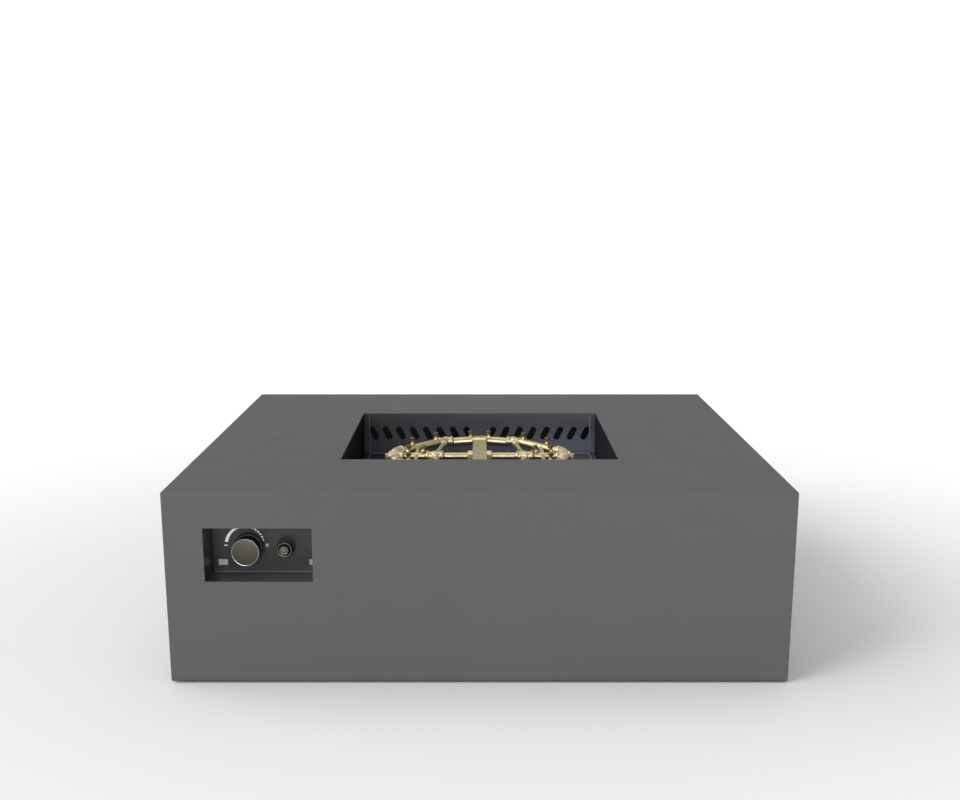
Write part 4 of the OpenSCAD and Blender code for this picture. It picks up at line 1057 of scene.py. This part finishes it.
def make_spring(name, node, turns, setback=0.0):
    """Coil spring along +Y, closer wound at its ends; its front end stands back from the CAD spring's."""
    wire = 0.7 * MM
    low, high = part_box(node)
    low.y += setback
    radius = (high.x - low.x) / 2 - wire
    length = high.y - low.y - 2 * wire
    centre = (low + high) / 2
    steps = 28
    count = turns * steps
    path = []
    for i in range(count + 1):
        angle = 2 * math.pi * i / steps
        share = i / count
        share = share * share * (3 - 2 * share) * 0.35 + share * 0.65
        path.append(Vector((centre.x + radius * math.cos(angle), low.y + wire + length * share,
                            centre.z + radius * math.sin(angle))))
    builder = Builder().add(*swept(path, lambda i: wire, 10))
    piece(name, builder, MATERIALS["spring_steel"], replaces=[node])


VALVE_SETBACK = 3.6 * MM     # a little over the knob's stroke, so the washer clears the coil


def make_inside():
    corrugated_hose("hose_to_burner", BURNER_ROUTE, "burner_hose")
    corrugated_hose("hose_from_supply", SUPPLY_ROUTE, "supply_hose")
    make_leads()
    make_spring("valve_coil", "valve_spring", 5, setback=VALVE_SETBACK)
    make_spring("igniter_coil", "igniter_spring", 6)


# ---------------------------------------------------------------- floor and light

FLOOR_SIZE, FLOOR_GAP = 300.0, 0.0005
# Painted shade: the floor is darker near the object than far behind it.
FLOOR_SHADED_NEAR, FLOOR_FAR = 0.74, 0.95    # whiteness near the object and far behind it


def make_floor():
    mesh = bpy.data.meshes.new("floor")
    bm = bmesh.new()
    bmesh.ops.create_grid(bm, x_segments=8, y_segments=8, size=FLOOR_SIZE / 2)
    bm.to_mesh(mesh)
    bm.free()
    floor = bpy.data.objects.new("floor", mesh)
    floor.location.z = -FLOOR_GAP
    scene.collection.objects.link(floor)
    m = Material("studio_floor", 0.9, specular=0.0)
    distance = m.nodes.new("ShaderNodeVectorMath")
    distance.operation = "LENGTH"
    m.link(m.place, distance.inputs[0])
    # Painted shade: the floor darkens from far away towards the object.
    far = m.spread(distance.outputs["Value"], 0, 1, 1.1, 3.0)
    grain = m.ramp(m.noise(0.6, detail=2), [(0.3, (0.995,) * 3), (0.7, (1.0,) * 3)])
    white = m.mix(far, (FLOOR_SHADED_NEAR,) * 3, (FLOOR_FAR,) * 3)
    m.colour(m.mix(1.0, white, grain, "MULTIPLY"))
    mesh.materials.append(m.data)


def soft_sun(name, towards, elevation, angle, power):
    """Distant soft light that comes from the horizontal direction and elevation given."""
    data = bpy.data.lights.new(name, "SUN")
    data.energy = power
    data.angle = math.radians(angle)
    light = bpy.data.objects.new(name, data)
    flat = Vector((towards[0], towards[1], 0)).normalized()
    direction = flat * math.cos(math.radians(elevation)) + Z * math.sin(math.radians(elevation))
    light.rotation_euler = direction.to_track_quat("Z", "Y").to_euler()
    light.location = direction * 4
    scene.collection.objects.link(light)


def make_light():
    """White studio: a sky dimmer than the backdrop, two lights at the left, one above and one ahead."""
    world = bpy.data.worlds.new("studio")
    world.use_nodes = True
    nodes, links = world.node_tree.nodes, world.node_tree.links
    sky = nodes["Background"]
    sky.inputs["Color"].default_value = (1.0, 1.0, 1.0, 1)
    sky.inputs["Strength"].default_value = 0.52
    backdrop = nodes.new("ShaderNodeBackground")
    backdrop.inputs["Color"].default_value = (1.0, 1.0, 1.0, 1)
    backdrop.inputs["Strength"].default_value = 1.1
    path = nodes.new("ShaderNodeLightPath")
    mix = nodes.new("ShaderNodeMixShader")
    links.new(path.outputs["Is Camera Ray"], mix.inputs["Fac"])
    links.new(sky.outputs[0], mix.inputs[1])
    links.new(backdrop.outputs[0], mix.inputs[2])
    links.new(mix.outputs[0], nodes["World Output"].inputs["Surface"])
    scene.world = world
    soft_sun("left_light", (-1, 0.05), 30, 70, 1.6)
    soft_sun("corner_light", (-1, -0.8), 32, 24, 1.1)
    soft_sun("top_light", (0, 1), 75, 50, 0.46)
    soft_sun("front_light", (0, -1), 9, 25, 1.48)
    scene.view_settings.view_transform = "Standard"
    scene.view_settings.look = "None"


make_camera()
dress_cad()
make_burner()
make_knob()
make_igniter()
make_screws()
make_panel_seam_highlight()
make_inside()
make_floor()
make_light()
